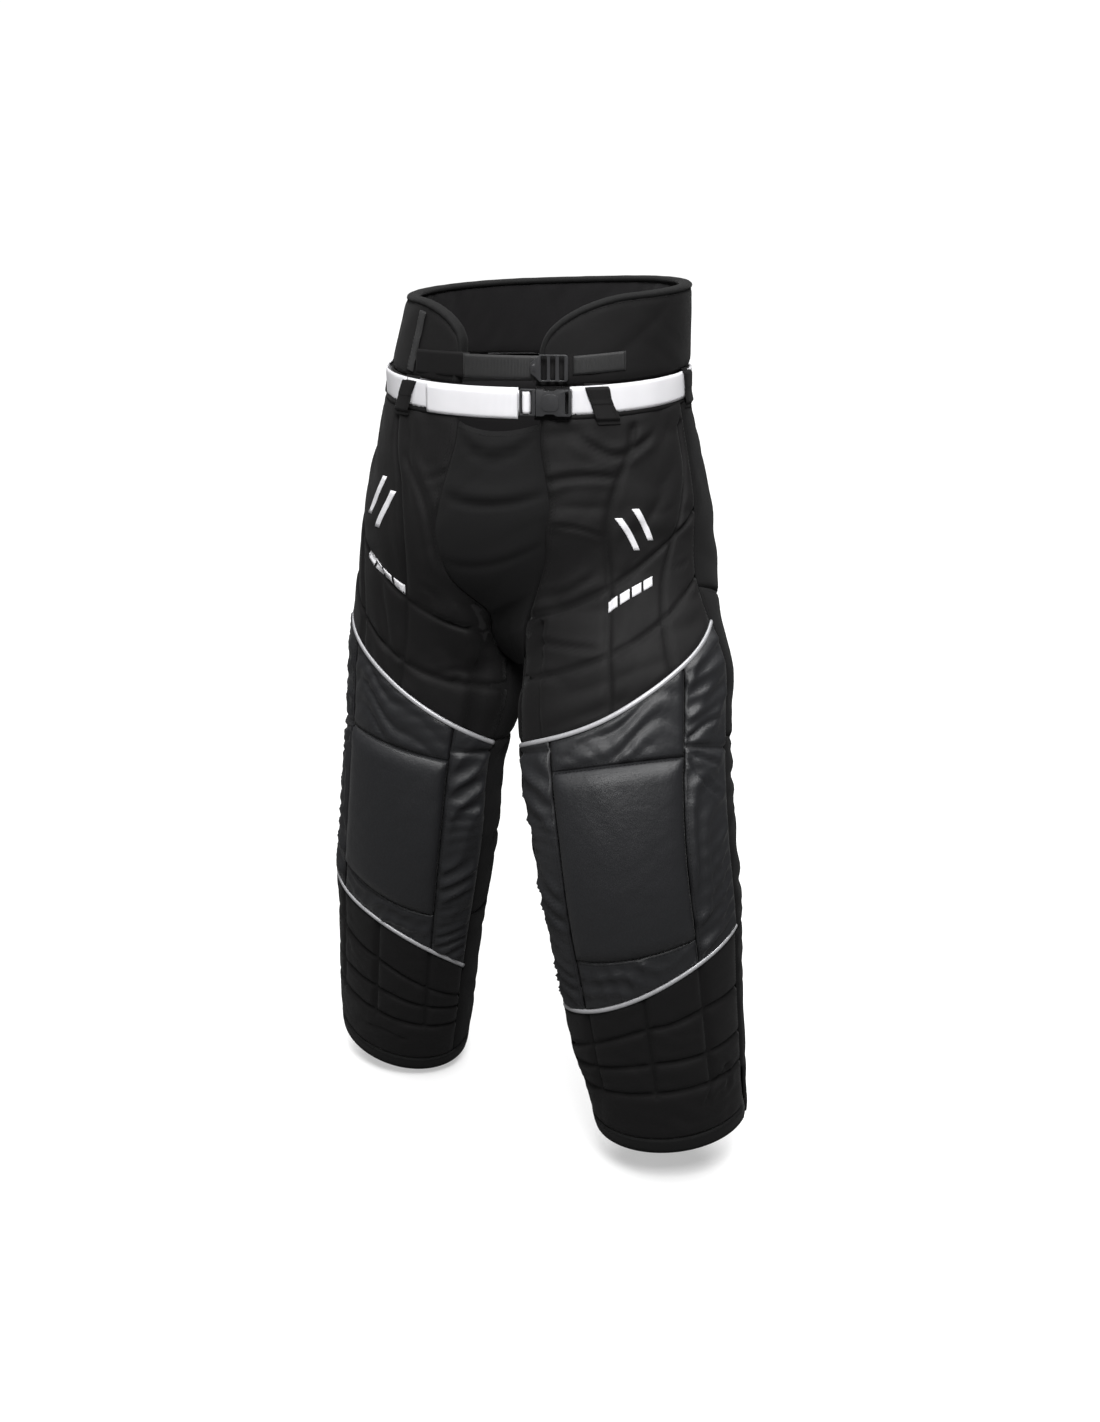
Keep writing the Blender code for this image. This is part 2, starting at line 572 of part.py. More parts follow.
def side_release_buckle():
    """The belt's buckle: a socket sewn to the left run, and a pronged half that slides out of it."""
    frame = tangent_frame(BUCKLE_ANGLE, belt_height(BUCKLE_ANGLE), 0.0023)
    half, deep = 0.0140, 0.0110
    wall = 0.0018
    length = 0.038
    bar = 0.0050
    socket = [((0, 0, -half), (length - 0.009, deep, half)),
              ((length - 0.010, 0.0030, -half), (length, deep - 0.0030, half))]
    hollow = [((-0.001, wall, -half + 0.004), (length - 0.0125, deep - wall, half - 0.004)),
              ((0.010, wall, -half - 0.001), (0.021, deep - wall, half + 0.001)),
              ((length - 0.0065, -0.001, -half + 0.002), (length - bar * 0.5, deep + 0.001, half - 0.002))]
    moulded("buckle_socket", frame, socket, hollow, "buckle_plastic", frame.translation, edge=0)
    low, high = wall + 0.0005, deep - wall - 0.0005
    prong = half - 0.0060
    pronged = [((-0.018, 0.0012, -half), (-0.0008, deep - 0.0012, half)),
               ((-0.002, low, -prong), (0.022, high, -prong + 0.0035)),
               ((-0.002, low, prong - 0.0035), (0.022, high, prong)),
               ((-0.002, low, -0.0016), (0.018, high, 0.0016)),
               ((0.012, low, -prong - 0.0015), (0.0195, high, -prong + 0.001)),
               ((0.012, low, prong - 0.001), (0.0195, high, prong + 0.0015))]
    slots = [((-0.0162, 0, -half + 0.0020), (-0.0125, deep, half - 0.0020)),
             ((-0.0095, 0, -half + 0.0020), (-0.0048, deep, half - 0.0020))]
    moulded("buckle_prongs", frame, pronged, slots, "buckle_plastic", frame.translation, edge=0.0004)


def collar_strap_and_lock():
    """The strap that draws the collar's wings together, and the ladder-lock buckle it runs through."""
    def low(angle):
        return STRAP_Z - STRAP / 2

    def low_anchor(angle):
        return STRAP_Z - STRAP / 2 + 0.0045 + 0.00022 * (angle - 24)
    span = inset(low, STRAP)
    waist_piece("collar_strap", -15.5, 13.0, (low, span), (6, 1), (0.0030 + WEBBING, 0.0030),
                "black_webbing")
    waist_piece("collar_strap_base", -41, -14, (low, inset(low, STRAP + 0.0015)), (6, 1), (0.0022, 0.0005),
                "microfibre")
    waist_piece("lock_anchor_webbing", 24.5, 45, (low_anchor, inset(low_anchor, 0.020)), (5, 1),
                (0.0023, 0.0005), "black_webbing")

    def tape_low(angle):
        return 0.0225
    waist_piece("collar_wing_tape", -46.8, -41.6, (tape_low, inset(tape_low, 0.064)), (1, 3),
                (0.0016, 0.0004), "black_webbing")
    frame = tangent_frame(LOCK_ANGLE, STRAP_Z, 0.0060)
    half_x, half_z, deep = 0.0170, 0.0140, 0.0038
    slot_z = half_z - 0.0013
    body = [((-half_x, 0, -half_z), (half_x, deep, half_z)),
            ((-half_x - 0.006, 0.0006, -0.0065), (-half_x + 0.002, deep - 0.0006, 0.0065))]
    slots = [((-half_x + 0.0050, -1e-3, -slot_z), (-half_x + 0.0115, deep + 1e-3, slot_z)),
             ((-half_x + 0.0150, -1e-3, -slot_z), (-half_x + 0.0205, deep + 1e-3, slot_z)),
             ((half_x - 0.0095, -1e-3, -slot_z), (half_x - 0.0040, deep + 1e-3, slot_z))]
    axis_at = frame @ Vector((half_x - 0.002, deep / 2, 0))
    moulded("ladder_lock", frame, body, slots, "buckle_plastic", axis_at, edge=0)


# ---- assembly ------------------------------------------------------------------------------------
def clear_scene():
    for old in list(bpy.data.objects):
        bpy.data.objects.remove(old, do_unlink=True)


def main():
    clear_scene()
    collar()
    waistband()
    belt()
    belt_loops()
    side_release_buckle()
    collar_strap_and_lock()
    gusset()
    for word, side in SIDES:
        thigh(word, side)
        knee(word, side)
        shin(word, side)
        pipings(word, side)


main()
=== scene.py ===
"""Looks of the padded ice-sports pants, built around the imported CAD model.

A leg's surface is addressed by (phi, s): s is the distance down the leg's centreline from the belt
line, and phi the angle round it, in degrees, from the front (0) over the outer side (90), the back
(180) and the inner side (270, the same as -90). Lengths are in metres.
"""

from math import cos, pi, radians, sin, sqrt

import bmesh
import bpy
import numpy as np
from mathutils import Matrix, Vector
from mathutils.bvhtree import BVHTree


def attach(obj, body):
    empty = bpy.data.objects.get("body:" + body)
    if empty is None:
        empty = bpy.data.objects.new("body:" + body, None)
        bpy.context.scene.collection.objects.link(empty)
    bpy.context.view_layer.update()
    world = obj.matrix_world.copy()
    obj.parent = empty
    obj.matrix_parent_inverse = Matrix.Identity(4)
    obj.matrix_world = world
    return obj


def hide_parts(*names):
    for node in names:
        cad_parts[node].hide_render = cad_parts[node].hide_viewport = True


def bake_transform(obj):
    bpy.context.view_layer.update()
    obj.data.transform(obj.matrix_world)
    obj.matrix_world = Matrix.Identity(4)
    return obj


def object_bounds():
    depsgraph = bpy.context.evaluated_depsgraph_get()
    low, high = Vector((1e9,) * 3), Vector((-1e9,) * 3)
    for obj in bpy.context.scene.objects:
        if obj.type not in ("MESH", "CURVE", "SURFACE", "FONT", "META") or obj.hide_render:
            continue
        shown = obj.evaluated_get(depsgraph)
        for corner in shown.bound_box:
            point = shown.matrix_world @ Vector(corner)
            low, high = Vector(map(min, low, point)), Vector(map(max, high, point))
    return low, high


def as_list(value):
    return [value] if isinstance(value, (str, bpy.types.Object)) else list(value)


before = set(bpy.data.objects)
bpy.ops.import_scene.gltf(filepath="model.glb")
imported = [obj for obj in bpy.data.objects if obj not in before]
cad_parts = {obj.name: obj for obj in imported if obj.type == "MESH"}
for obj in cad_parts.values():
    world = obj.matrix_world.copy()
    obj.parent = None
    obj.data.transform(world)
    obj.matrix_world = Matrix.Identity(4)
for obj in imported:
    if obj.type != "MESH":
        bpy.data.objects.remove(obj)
CAD_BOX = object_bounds()

# ---- the body that the pants are cut to: the same driving dimensions as the CAD model -------------
HIP_DROP, THIGH, SHIN = 0.09, 0.42, 0.40
KNEE_S = HIP_DROP + THIGH
ANKLE_S = KNEE_S + SHIN
HEM_S = 0.915
BEND_BLUR = 0.07
SPLIT = (0.16, 0.34)
SEAT_DRAPE, SEAT_MIDDLE = 0.11, 155
TRUNK = ((0.125, 0.160, 0.112), (0.0, 0.1765, 0.129), (-0.13, 0.2055, 0.149), (-0.22, 0.2186, 0.141),
         (-0.34, 0.226, 0.130))
LEFT, RIGHT = 1, -1
SIDES = (("left", LEFT), ("right", RIGHT))
HIP = {LEFT: (0.105, -0.004, -0.09), RIGHT: (-0.105, 0.004, -0.09)}
KNEE = {LEFT: (0.159, -0.150, -0.474), RIGHT: (-0.153, -0.019, -0.509)}
ANKLE = {LEFT: (0.194, -0.075, -0.861), RIGHT: (-0.220, 0.084, -0.889)}
TOE_OUT = {LEFT: 14.0, RIGHT: 18.3}
GIRTH = {
    LEFT: ((0.20, 0.092, 0.109, 0.106), (0.27, 0.090, 0.119, 0.1125), (0.32, 0.0885, 0.1185, 0.1185),
           (0.36, 0.0867, 0.1155, 0.1255), (0.44, 0.082, 0.1125, 0.125), (0.51, 0.079, 0.1135, 0.117),
           (0.61, 0.080, 0.1125, 0.1135), (0.71, 0.079, 0.105, 0.1095), (0.79, 0.078, 0.1005, 0.1085),
           (0.86, 0.0775, 0.0965, 0.099), (0.92, 0.077, 0.0935, 0.0950)),
    RIGHT: ((0.20, 0.092, 0.106, 0.106), (0.30, 0.0895, 0.107, 0.113), (0.35, 0.0873, 0.105, 0.121),
            (0.44, 0.082, 0.101, 0.113), (0.51, 0.079, 0.103, 0.1165), (0.57, 0.0795, 0.103, 0.114),
            (0.615, 0.080, 0.107, 0.111), (0.66, 0.0795, 0.110, 0.107), (0.71, 0.079, 0.106, 0.1035),
            (0.85, 0.078, 0.0995, 0.0985), (0.92, 0.077, 0.0930, 0.0945)),
}

INNER_SEAM, OUTER_SEAM = -84.0, 74.0
PAD_INNER, PAD_OUTER = -57.0, 40.0
CENTRE_BACK = 219.0
PAD_TOP_S = {LEFT: 0.441, RIGHT: 0.431}
PAD_BOTTOM_S = {LEFT: 0.640, RIGHT: 0.630}
PAD_SLOPE = (0.011, 0.022)
UPPER_PIPING = {LEFT: (0.409, 0.133, 2.1), RIGHT: (0.407, 0.123, 1.0)}
LOWER_PIPING = {LEFT: (0.630, 0.100, 0.0), RIGHT: (0.653, 0.006, 0.072)}
KNEE_BACK_S = (0.405, 0.640)
VENT_TOP_S, VENT_END = 0.832, 81.0
HEM_BAND = 0.020
COLLAR_HEIGHT = 0.12
COLLAR_RING = (0.0165, 0.160, 0.118)
WING_EDGE = {LEFT: 13.0, RIGHT: 20.0}
WING_CORNER = 35.0
COLLAR_TILT = 0.0055
WING_LOW, WING_ROUND, BACK_RISE = 0.0525, 0.050, 0.014
BELT_DIP, BELT_RISE = -0.003, 0.014
BELT, STRAP, WEBBING = 0.030, 0.025, 0.0018      # the widths of both webbings, and their thickness
STRAP_Z = 0.033
GUSSET_SEAM = ((-23.2, -20.5, 0.026), (-25, -19.3, 0.11), (-31, -22, 0.155), (-41, -33, 0.202),
               (-54, -54, 0.238), (-68, -65, 0.270), (-80, -78, 0.295), (-95, -95, 0.312),
               (-113, -113, 0.300), (-127, -127, 0.265), (-136, -136, 0.225), (-140, -140, 0.195))
GUSSET_LOWEST, GUSSET_BEHIND = 7 / 11, 8 / 11
LEG_RADIUS = 0.105     # turns an angle round a leg into a length
YOKE_S = 0.235
# loose cloth at the top of the inner thigh: angle, reach round the leg, s and reach down it
INNER_FULL = (256, 52, 0.350, 0.040)
INNER_RISE = {LEFT: 0.0, RIGHT: 0.013}
FRAMES = 22            # of cloth simulation
CLOTH = 0.0016         # thickness of a cover's cloth
SEAM_DEPTH = 0.0024    # how far a seam is drawn into the padding
QUILT_DEPTH = 0.0050   # how far a quilting stitch is drawn in
# the last of these is how far from a pin the cloth's colour is darkened as painted seam shade
SEAM_WIDTH, QUILT_WIDTH, SEAM_SHADE_REACH = 0.0045, 0.0038, 0.0022


def smooth(x):
    x = np.clip(x, 0.0, 1.0)
    return x * x * (3 - 2 * x)


def read_rows(rows, x):
    """The rows' values at each x: a smooth curve through rows of (x, value, ...), held beyond its ends."""
    rows = np.array(sorted(rows), float)
    x = np.clip(np.asarray(x, float), rows[0, 0], rows[-1, 0])
    i = np.clip(np.searchsorted(rows[:, 0], x, side="right") - 1, 0, len(rows) - 2)
    before, start = rows[np.maximum(i - 1, 0)], rows[i]
    end, after = rows[i + 1], rows[np.minimum(i + 2, len(rows) - 1)]
    span = (end[..., :1] - start[..., :1])
    u = (x[..., None] - start[..., :1]) / span
    slope_in = (end[..., 1:] - before[..., 1:]) / (end[..., :1] - before[..., :1]) * span
    slope_out = (after[..., 1:] - start[..., 1:]) / (after[..., :1] - start[..., :1]) * span
    return (start[..., 1:] * (1 + 2 * u) * (1 - u) ** 2 + slope_in * u * (1 - u) ** 2
            + end[..., 1:] * u * u * (3 - 2 * u) + slope_out * u * u * (u - 1))


class Leg:
    """One leg's surface, with its centreline and section frames tabulated along s."""

    def __init__(self, side):
        self.side = side
        self.stations = np.linspace(-0.005, 0.965, 195)
        self.table = np.array([self._section(s) for s in self.stations])

    def centre(self, s):
        """The centreline from the waist over the hip, knee and ankle, with its bends rounded."""
        joints = np.array([(0.095 * self.side, 0, 0), HIP[self.side], KNEE[self.side], ANKLE[self.side]])
        places = (0.0, HIP_DROP, KNEE_S, ANKLE_S)

        def straight(at):
            k = 0 if at <= HIP_DROP else 1 if at <= KNEE_S else 2
            return joints[k] + (joints[k + 1] - joints[k]) * (at - places[k]) / (places[k + 1] - places[k])

        return sum(straight(s + BEND_BLUR * k / 9) for k in range(-9, 10)) / 19

    def _section(self, s):
        """Centre, outward and forward directions at s: level at the waist, square to the leg below it."""
        side = self.side
        along = self.centre(s + 0.01) - self.centre(s - 0.01)
        along /= np.linalg.norm(along)
        toe = radians(TOE_OUT[side]) * min(max((s - 0.05) / 0.3, 0), 1)
        level_front = np.array((side * sin(toe), -cos(toe), 0))
        level_out = np.array((side * cos(toe), sin(toe), 0))
        front = level_front - along * (level_front @ along)
        front /= np.linalg.norm(front)
        out = np.cross(front, along)
        if out[0] * side < 0:
            out = -out
        tilted = smooth((s - 0.06) / 0.20)
        front = level_front + (front - level_front) * tilted
        front /= np.linalg.norm(front)
        out = level_out + (out - level_out) * tilted
        out = out - front * (out @ front)
        out /= np.linalg.norm(out)
        return [*self.centre(s), *out, *front]

    def frame(self, s):
        """Centre, outward and forward directions of the sections at each s."""
        s = np.asarray(s, float)
        values = [np.interp(s, self.stations, self.table[:, k]) for k in range(9)]
        return (np.stack(values[0:3], -1), np.stack(values[3:6], -1), np.stack(values[6:9], -1))

    def trunk_reach(self, middle, ray):
        """How far a ray runs from the leg's middle to the trunk, which ends at the centre plane."""
        wide, deep = np.moveaxis(read_rows(TRUNK, middle[..., 2]), -1, 0)
        a = (ray[..., 0] / wide) ** 2 + (ray[..., 1] / deep) ** 2
        b = 2 * (middle[..., 0] * ray[..., 0] / wide**2 + middle[..., 1] * ray[..., 1] / deep**2)
        c = (middle[..., 0] / wide) ** 2 + (middle[..., 1] / deep) ** 2 - 1
        reach = (-b + np.sqrt(np.maximum(b * b - 4 * a * c, 0))) / (2 * a)
        inward = ray[..., 0] * self.side < -1e-6
        stop = np.where(inward, -middle[..., 0] / np.where(inward, ray[..., 0], -1), np.inf)
        return np.minimum(reach, stop)

    def point(self, phi, s, offset=0.0):
        """Points on the leg, offset outwards; the trunk's shape turns into the leg's on the way down."""
        phi, s = np.broadcast_arrays(np.asarray(phi, float), np.asarray(s, float))
        middle, out, front = self.frame(s)
        sine, cosine = np.sin(np.radians(phi))[..., None], np.cos(np.radians(phi))[..., None]
        ray = out * sine + front * cosine
        deep, outer, inner = np.moveaxis(read_rows(GIRTH[self.side], s), -1, 0)
        wide = np.where(sine[..., 0] > 0, outer, inner)
        reach = 1 / np.hypot(sine[..., 0] / wide, cosine[..., 0] / deep)
        behind = smooth(1 - np.abs(phi % 360 - SEAT_MIDDLE) / 60)
        is_leg = smooth((s - SPLIT[0]) / (SPLIT[1] + SEAT_DRAPE * behind - SPLIT[0]))
        reach = reach * is_leg + self.trunk_reach(middle, ray) * (1 - is_leg)
        from_fold = np.abs((phi - INNER_FULL[0] + 180) % 360 - 180)
        full = smooth(1 - from_fold / INNER_FULL[1]) * np.exp(-((s - INNER_FULL[2]) / INNER_FULL[3]) ** 2)
        reach = reach + INNER_RISE[self.side] * full
        return middle + ray * (reach + offset)[..., None]


LEGS = {side: Leg(side) for _, side in SIDES}


def waist_point(angle, z, offset=0.0):
    """Points of the waist at an angle from the front, towards the wearer's left."""
    angle, z, offset = np.broadcast_arrays(*(np.asarray(v, float) for v in (angle, z, offset)))
    up = np.maximum(z, 0) / COLLAR_HEIGHT
    wide, deep = np.moveaxis(read_rows(TRUNK, np.minimum(z, 0)), -1, 0)
    wide = wide + (COLLAR_RING[1] - wide) * up + offset
    deep = deep + (COLLAR_RING[2] - deep) * up + offset
    x = COLLAR_RING[0] * up + wide * np.sin(np.radians(angle))
    return np.stack([x, -deep * np.cos(np.radians(angle)), z], -1)


# ---- edges and seams, as in the CAD model --------------------------------------------------------
def across_front(phi):
    return (np.asarray(phi, float) - INNER_SEAM) / (OUTER_SEAM - INNER_SEAM)


def upper_piping(side):
    start, rise, power = UPPER_PIPING[side]
    return lambda phi: start - rise * np.clip(across_front(phi), 0, 1.05) ** power


def lower_piping(side):
    outer, even, extra = LOWER_PIPING[side]

    def place(phi):
        inward = 1 - across_front(phi)
        return outer + even * inward + extra * np.maximum(inward, 0) ** 4
    return place


def pad_ends(side, margin=0.0):
    """Top and bottom ends of a piece under the knee's pad cover, inset by a margin."""
    def across(phi):
        return (np.asarray(phi, float) - PAD_INNER) / (PAD_OUTER - PAD_INNER)
    return (lambda phi: PAD_TOP_S[side] + margin - PAD_SLOPE[0] * across(phi),
            lambda phi: PAD_BOTTOM_S[side] - margin - PAD_SLOPE[1] * across(phi))


def panel_top(phi):
    """The trunk covers run up behind the waistband, so they start above its lower edge."""
    return 0.0040 + 0.0148 * np.maximum(np.cos(np.radians(0.9 * np.asarray(phi, float) + 20)), 0)


def gusset_seam(side, v):
    rows = [(k / 11, left if side == LEFT else right, s) for k, (left, right, s) in enumerate(GUSSET_SEAM)]
    return np.moveaxis(read_rows(rows, v), -1, 0)


def seam_rows(side, start, end):
    phi, s = gusset_seam(side, np.linspace(start, end, 25))
    return list(zip(s, phi))


def front_inner_edge(side):
    rows = seam_rows(side, 0, GUSSET_LOWEST)
    return lambda s: np.maximum(read_rows(rows, s)[..., 0], INNER_SEAM)


def back_inner_edge(side):
    rows = [(0.0, CENTRE_BACK + 2)] + [(s, phi + 360) for s, phi in seam_rows(side, 1, GUSSET_BEHIND)]
    to_inner_seam = INNER_SEAM + 360 - rows[-1][1]

    def edge(s):
        joined = read_rows(rows, s)[..., 0] + to_inner_seam * smooth((np.asarray(s, float) - 0.291) / 0.018)
        return np.minimum(joined, INNER_SEAM + 360)
    return edge


def signed(angle):
    """Angles from 0 to 360 degrees as angles from -180 to 180."""
    return np.where(np.asarray(angle) > 180, np.asarray(angle) - 360, angle)


def belt_height(angle):
    """The belt dips at the front and is level from the sides round the back."""
    from_front = np.minimum(np.abs(signed(angle)), 90)
    return BELT_DIP + BELT_RISE * (1 - np.cos(np.radians(from_front)))


def collar_top(angle):
    """The collar's upper edge: a round corner on each wing, and a slow rise to the back."""
    turned = signed(angle)
    from_edge = np.abs(turned) - np.where(turned > 0, WING_EDGE[LEFT], WING_EDGE[RIGHT])
    corner = 1 - np.clip(from_edge, 0, WING_CORNER) / WING_CORNER
    rise = WING_ROUND * np.sqrt(1 - corner**2) + BACK_RISE * smooth(from_edge / 140)
    return WING_LOW + rise + COLLAR_TILT * np.sin(np.radians(turned))


# ---- meshes --------------------------------------------------------------------------------------
MATERIALS = {}


def link(name, data):
    """A new object in the scene."""
    made = bpy.data.objects.new(name, data)
    bpy.context.scene.collection.objects.link(made)
    return made


def add_object(name, points, faces, uvs, slot):
    """A smooth-shaded mesh object; uvs are one pair for each point, in metres."""
    data = bpy.data.meshes.new(name)
    data.from_pydata(np.asarray(points).reshape(-1, 3).tolist(), [], faces)
    layer = data.uv_layers.new(name="metres")
    corners = np.empty(len(data.loops), np.int32)
    data.loops.foreach_get("vertex_index", corners)
    layer.data.foreach_set("uv", np.asarray(uvs, np.float32).reshape(-1, 2)[corners].reshape(-1))
    data.polygons.foreach_set("use_smooth", [True] * len(data.polygons))
    data.materials.append(MATERIALS[slot])
    data.update()
    made = link(name, data)
    return made


def grid_normals(points):
    across = np.gradient(points, axis=1)
    down = np.gradient(points, axis=0)
    normal = np.cross(across, down)
    return normal / np.maximum(np.linalg.norm(normal, axis=-1, keepdims=True), 1e-12)


def quads_of(index):
    """The corners of each cell in a grid of point numbers."""
    return np.stack([index[:-1, :-1], index[:-1, 1:], index[1:, 1:], index[1:, :-1]], -1).reshape(-1, 4)


def rim_of(shape):
    """True on the outermost rows and columns of a grid."""
    rim = np.zeros(shape, bool)
    rim[0], rim[-1], rim[:, 0], rim[:, -1] = True, True, True, True
    return rim


def mark_seams(made, nearness):
    """Stores on both faces of a sheet how near each point is to a seam, for its material to read."""
    layer = made.data.attributes.new("seam", "FLOAT", "POINT")
    layer.data.foreach_set("value", np.tile(nearness.ravel(), 2).astype(np.float32))


def closed_sheet(name, outer, inner, uv, slot):
    """A closed piece from two grids of points; outer is the side that shows."""
    rows, columns = outer.shape[:2]
    count = rows * columns
    index = np.arange(count).reshape(rows, columns)
    quads = quads_of(index)
    back = quads[:, [0, 3, 2, 1]] + count
    rim = np.concatenate([index[0, :-1], index[:-1, -1], index[-1, :0:-1], index[:0:-1, 0]])
    after = np.roll(rim, -1)
    sides = np.stack([rim, rim + count, after + count, after], -1)
    points = np.concatenate([outer.reshape(-1, 3), inner.reshape(-1, 3)])
    faces = np.concatenate([quads, back, sides])
    middle = points.mean(0)
    volume = np.einsum("ij,ij->i", points[faces[:, 0]] - middle,
                       np.cross(points[faces[:, 1]] - middle, points[faces[:, 2]] - middle)).sum()
    if volume < 0:
        faces = faces[:, ::-1]
    return add_object(name, points, faces.tolist(), np.concatenate([uv.reshape(-1, 2)] * 2), slot)


# ---- cloth ---------------------------------------------------------------------------------------
PANELS = []


class Panel:
    """A cover cut to the body, sewn down at its pins.

    place(offset) gives its grid of points that far outside the body, and relief the offsets it starts
    from. In the simulation slack is how much too large the cloth is cut, swell how hard it is pressed
    outwards, hold how firmly its free points keep their places, and cap the most they may move. fill is
    how full the padding under it is, and None for a bare sheet.
    """

    def __init__(self, name, place, relief, uv, slot, pins, replaces, follow, swell=1.0, slack=0.0,
                 hold=0.03, cap=0.006, folds=(), creases=(), thick=CLOTH, fill=None, seams=()):
        self.name, self.uv, self.slot, self.pins, self.seams = name, uv, slot, pins, seams
        self.replaces, self.follow, self.fill = replaces, follow, fill
        self.swell, self.slack, self.hold, self.cap, self.thick = swell, slack, hold, cap, thick
        self.rest = place(relief)
        outward = place(relief + 0.001) - self.rest
        self.outward = outward / np.linalg.norm(outward, axis=-1, keepdims=True)
        self.near = distance_to(self.rest, pins)
        relief = fold_pattern(uv, folds) * smooth(self.near / 0.010)
        relief = relief + drawn_in(uv, creases) * smooth(self.near / 0.005)
        self.shape = self.rest + self.outward * relief[..., None]
        PANELS.append(self)

    def finish(self):
        """Makes the cover from its simulated shape."""
        self.normal = grid_normals(self.shape)
        self.normal *= np.sign((self.normal * self.outward).sum(-1, keepdims=True).mean())
        made = closed_sheet(self.name, self.shape, self.shape - self.normal * self.thick, self.uv, self.slot)
        # nearness to a pin, which the cloth material turns into painted shade along the seams
        mark_seams(made, np.exp(-(self.near / SEAM_SHADE_REACH) ** 2))
        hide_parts(*self.replaces)
        self.follow(made)
        if self.fill is None:
            declare_sheet(self.shape, rests_on=self.replaces)


def distance_to(points, pins):
    """Distance of each grid point from the nearest pinned one, counted along the rows and columns."""
    across = np.linalg.norm(np.diff(points, axis=1), axis=-1)
    down = np.linalg.norm(np.diff(points, axis=0), axis=-1)
    far = np.where(pins, 0.0, 1.0)
    for _sweep in range(2):
        for j in range(1, far.shape[1]):
            far[:, j] = np.minimum(far[:, j], far[:, j - 1] + across[:, j - 1])
        for j in range(far.shape[1] - 2, -1, -1):
            far[:, j] = np.minimum(far[:, j], far[:, j + 1] + across[:, j])
        for i in range(1, far.shape[0]):
            far[i] = np.minimum(far[i], far[i - 1] + down[i - 1])
        for i in range(far.shape[0] - 2, -1, -1):
            far[i] = np.minimum(far[i], far[i + 1] + down[i])
    return far


def fold_pattern(uv, folds):
    """Pillows between sharp creases, for each (direction in degrees from across, spacing, height)."""
    x, y = uv[..., 0], uv[..., 1]
    total = np.zeros(x.shape)
    for number, (direction, spacing, height) in enumerate(folds):
        along = x * cos(radians(direction)) + y * sin(radians(direction))
        over = -x * sin(radians(direction)) + y * cos(radians(direction))
        bend = spacing * (0.55 * np.sin(along * 23 + number * 2.1 + over * 9)
                          + 0.30 * np.sin(along * 57 + over * 31 + number))
        strength = 0.62 + 0.38 * np.sin(along * 31 + over * 47 + number * 1.7)
        total += height * strength * (np.abs(np.sin(pi * (over + bend) / spacing)) - 0.62)
    return total


def curve_through(points, count):
    """count points, evenly numbered, along a smooth curve through the given ones."""
    rows = [(k, *point) for k, point in enumerate(points)]
    return read_rows(rows, np.linspace(0, len(points) - 1, count))


def drawn_in(uv, creases):
    """Drape folds, each (depth, width, line of points): a sharp valley with a soft roll on both sides."""
    relief = np.zeros(uv.shape[:-1])
    for depth, width, points in creases:
        line = curve_through(points, 8 * len(points))
        away, run = np.full(relief.shape, np.inf), np.zeros(relief.shape)
        for k, (start, end) in enumerate(zip(line, line[1:])):
            step = end - start
            along = np.clip((uv - start) @ step / (step @ step), 0, 1)
            gap = np.linalg.norm(uv - start - along[..., None] * step, axis=-1)
            run = np.where(gap < away, (k + along) / (len(line) - 1), run)
            away = np.minimum(gap, away)
        taper = smooth(np.minimum(run, 1 - run) / 0.20)
        roll = np.exp(-((away - 2.3 * width) / (1.4 * width)) ** 2)
        relief += depth * taper * (0.5 * roll - np.exp(-(away / width) ** 2))
    return relief


def divided(values, pitch):
    """Grid parameters across lines with these values: whole numbers are lines, in steps of about pitch."""
    gaps = [float(np.abs(after - before).mean()) for before, after in zip(values, values[1:])]
    steps = [max(2, round(gap / pitch)) for gap in gaps]
    marks = np.concatenate([[0], np.cumsum(steps)])
    at = np.concatenate([np.arange(n) / n + k for k, n in enumerate(steps)] + [[len(steps)]])
    return at, marks


def ordered(levels, gap):
    """Lines kept in order, at least gap apart and between the first and the last."""
    levels = levels.copy()
    for k in range(1, len(levels) - 1):
        levels[k] = np.maximum(levels[k], levels[k - 1] + gap)
    for k in range(len(levels) - 2, 0, -1):
        levels[k] = np.minimum(levels[k], levels[k + 1] - gap)
    return levels


def between_lines(levels, at):
    """Values at grid parameters whose whole numbers are lines: levels holds each line's values."""
    k = np.clip(at.astype(int), 0, len(levels) - 2)
    first, second = (np.take_along_axis(levels, (k + step)[None], 0)[0] for step in (0, 1))
    return first + (second - first) * (at - k)


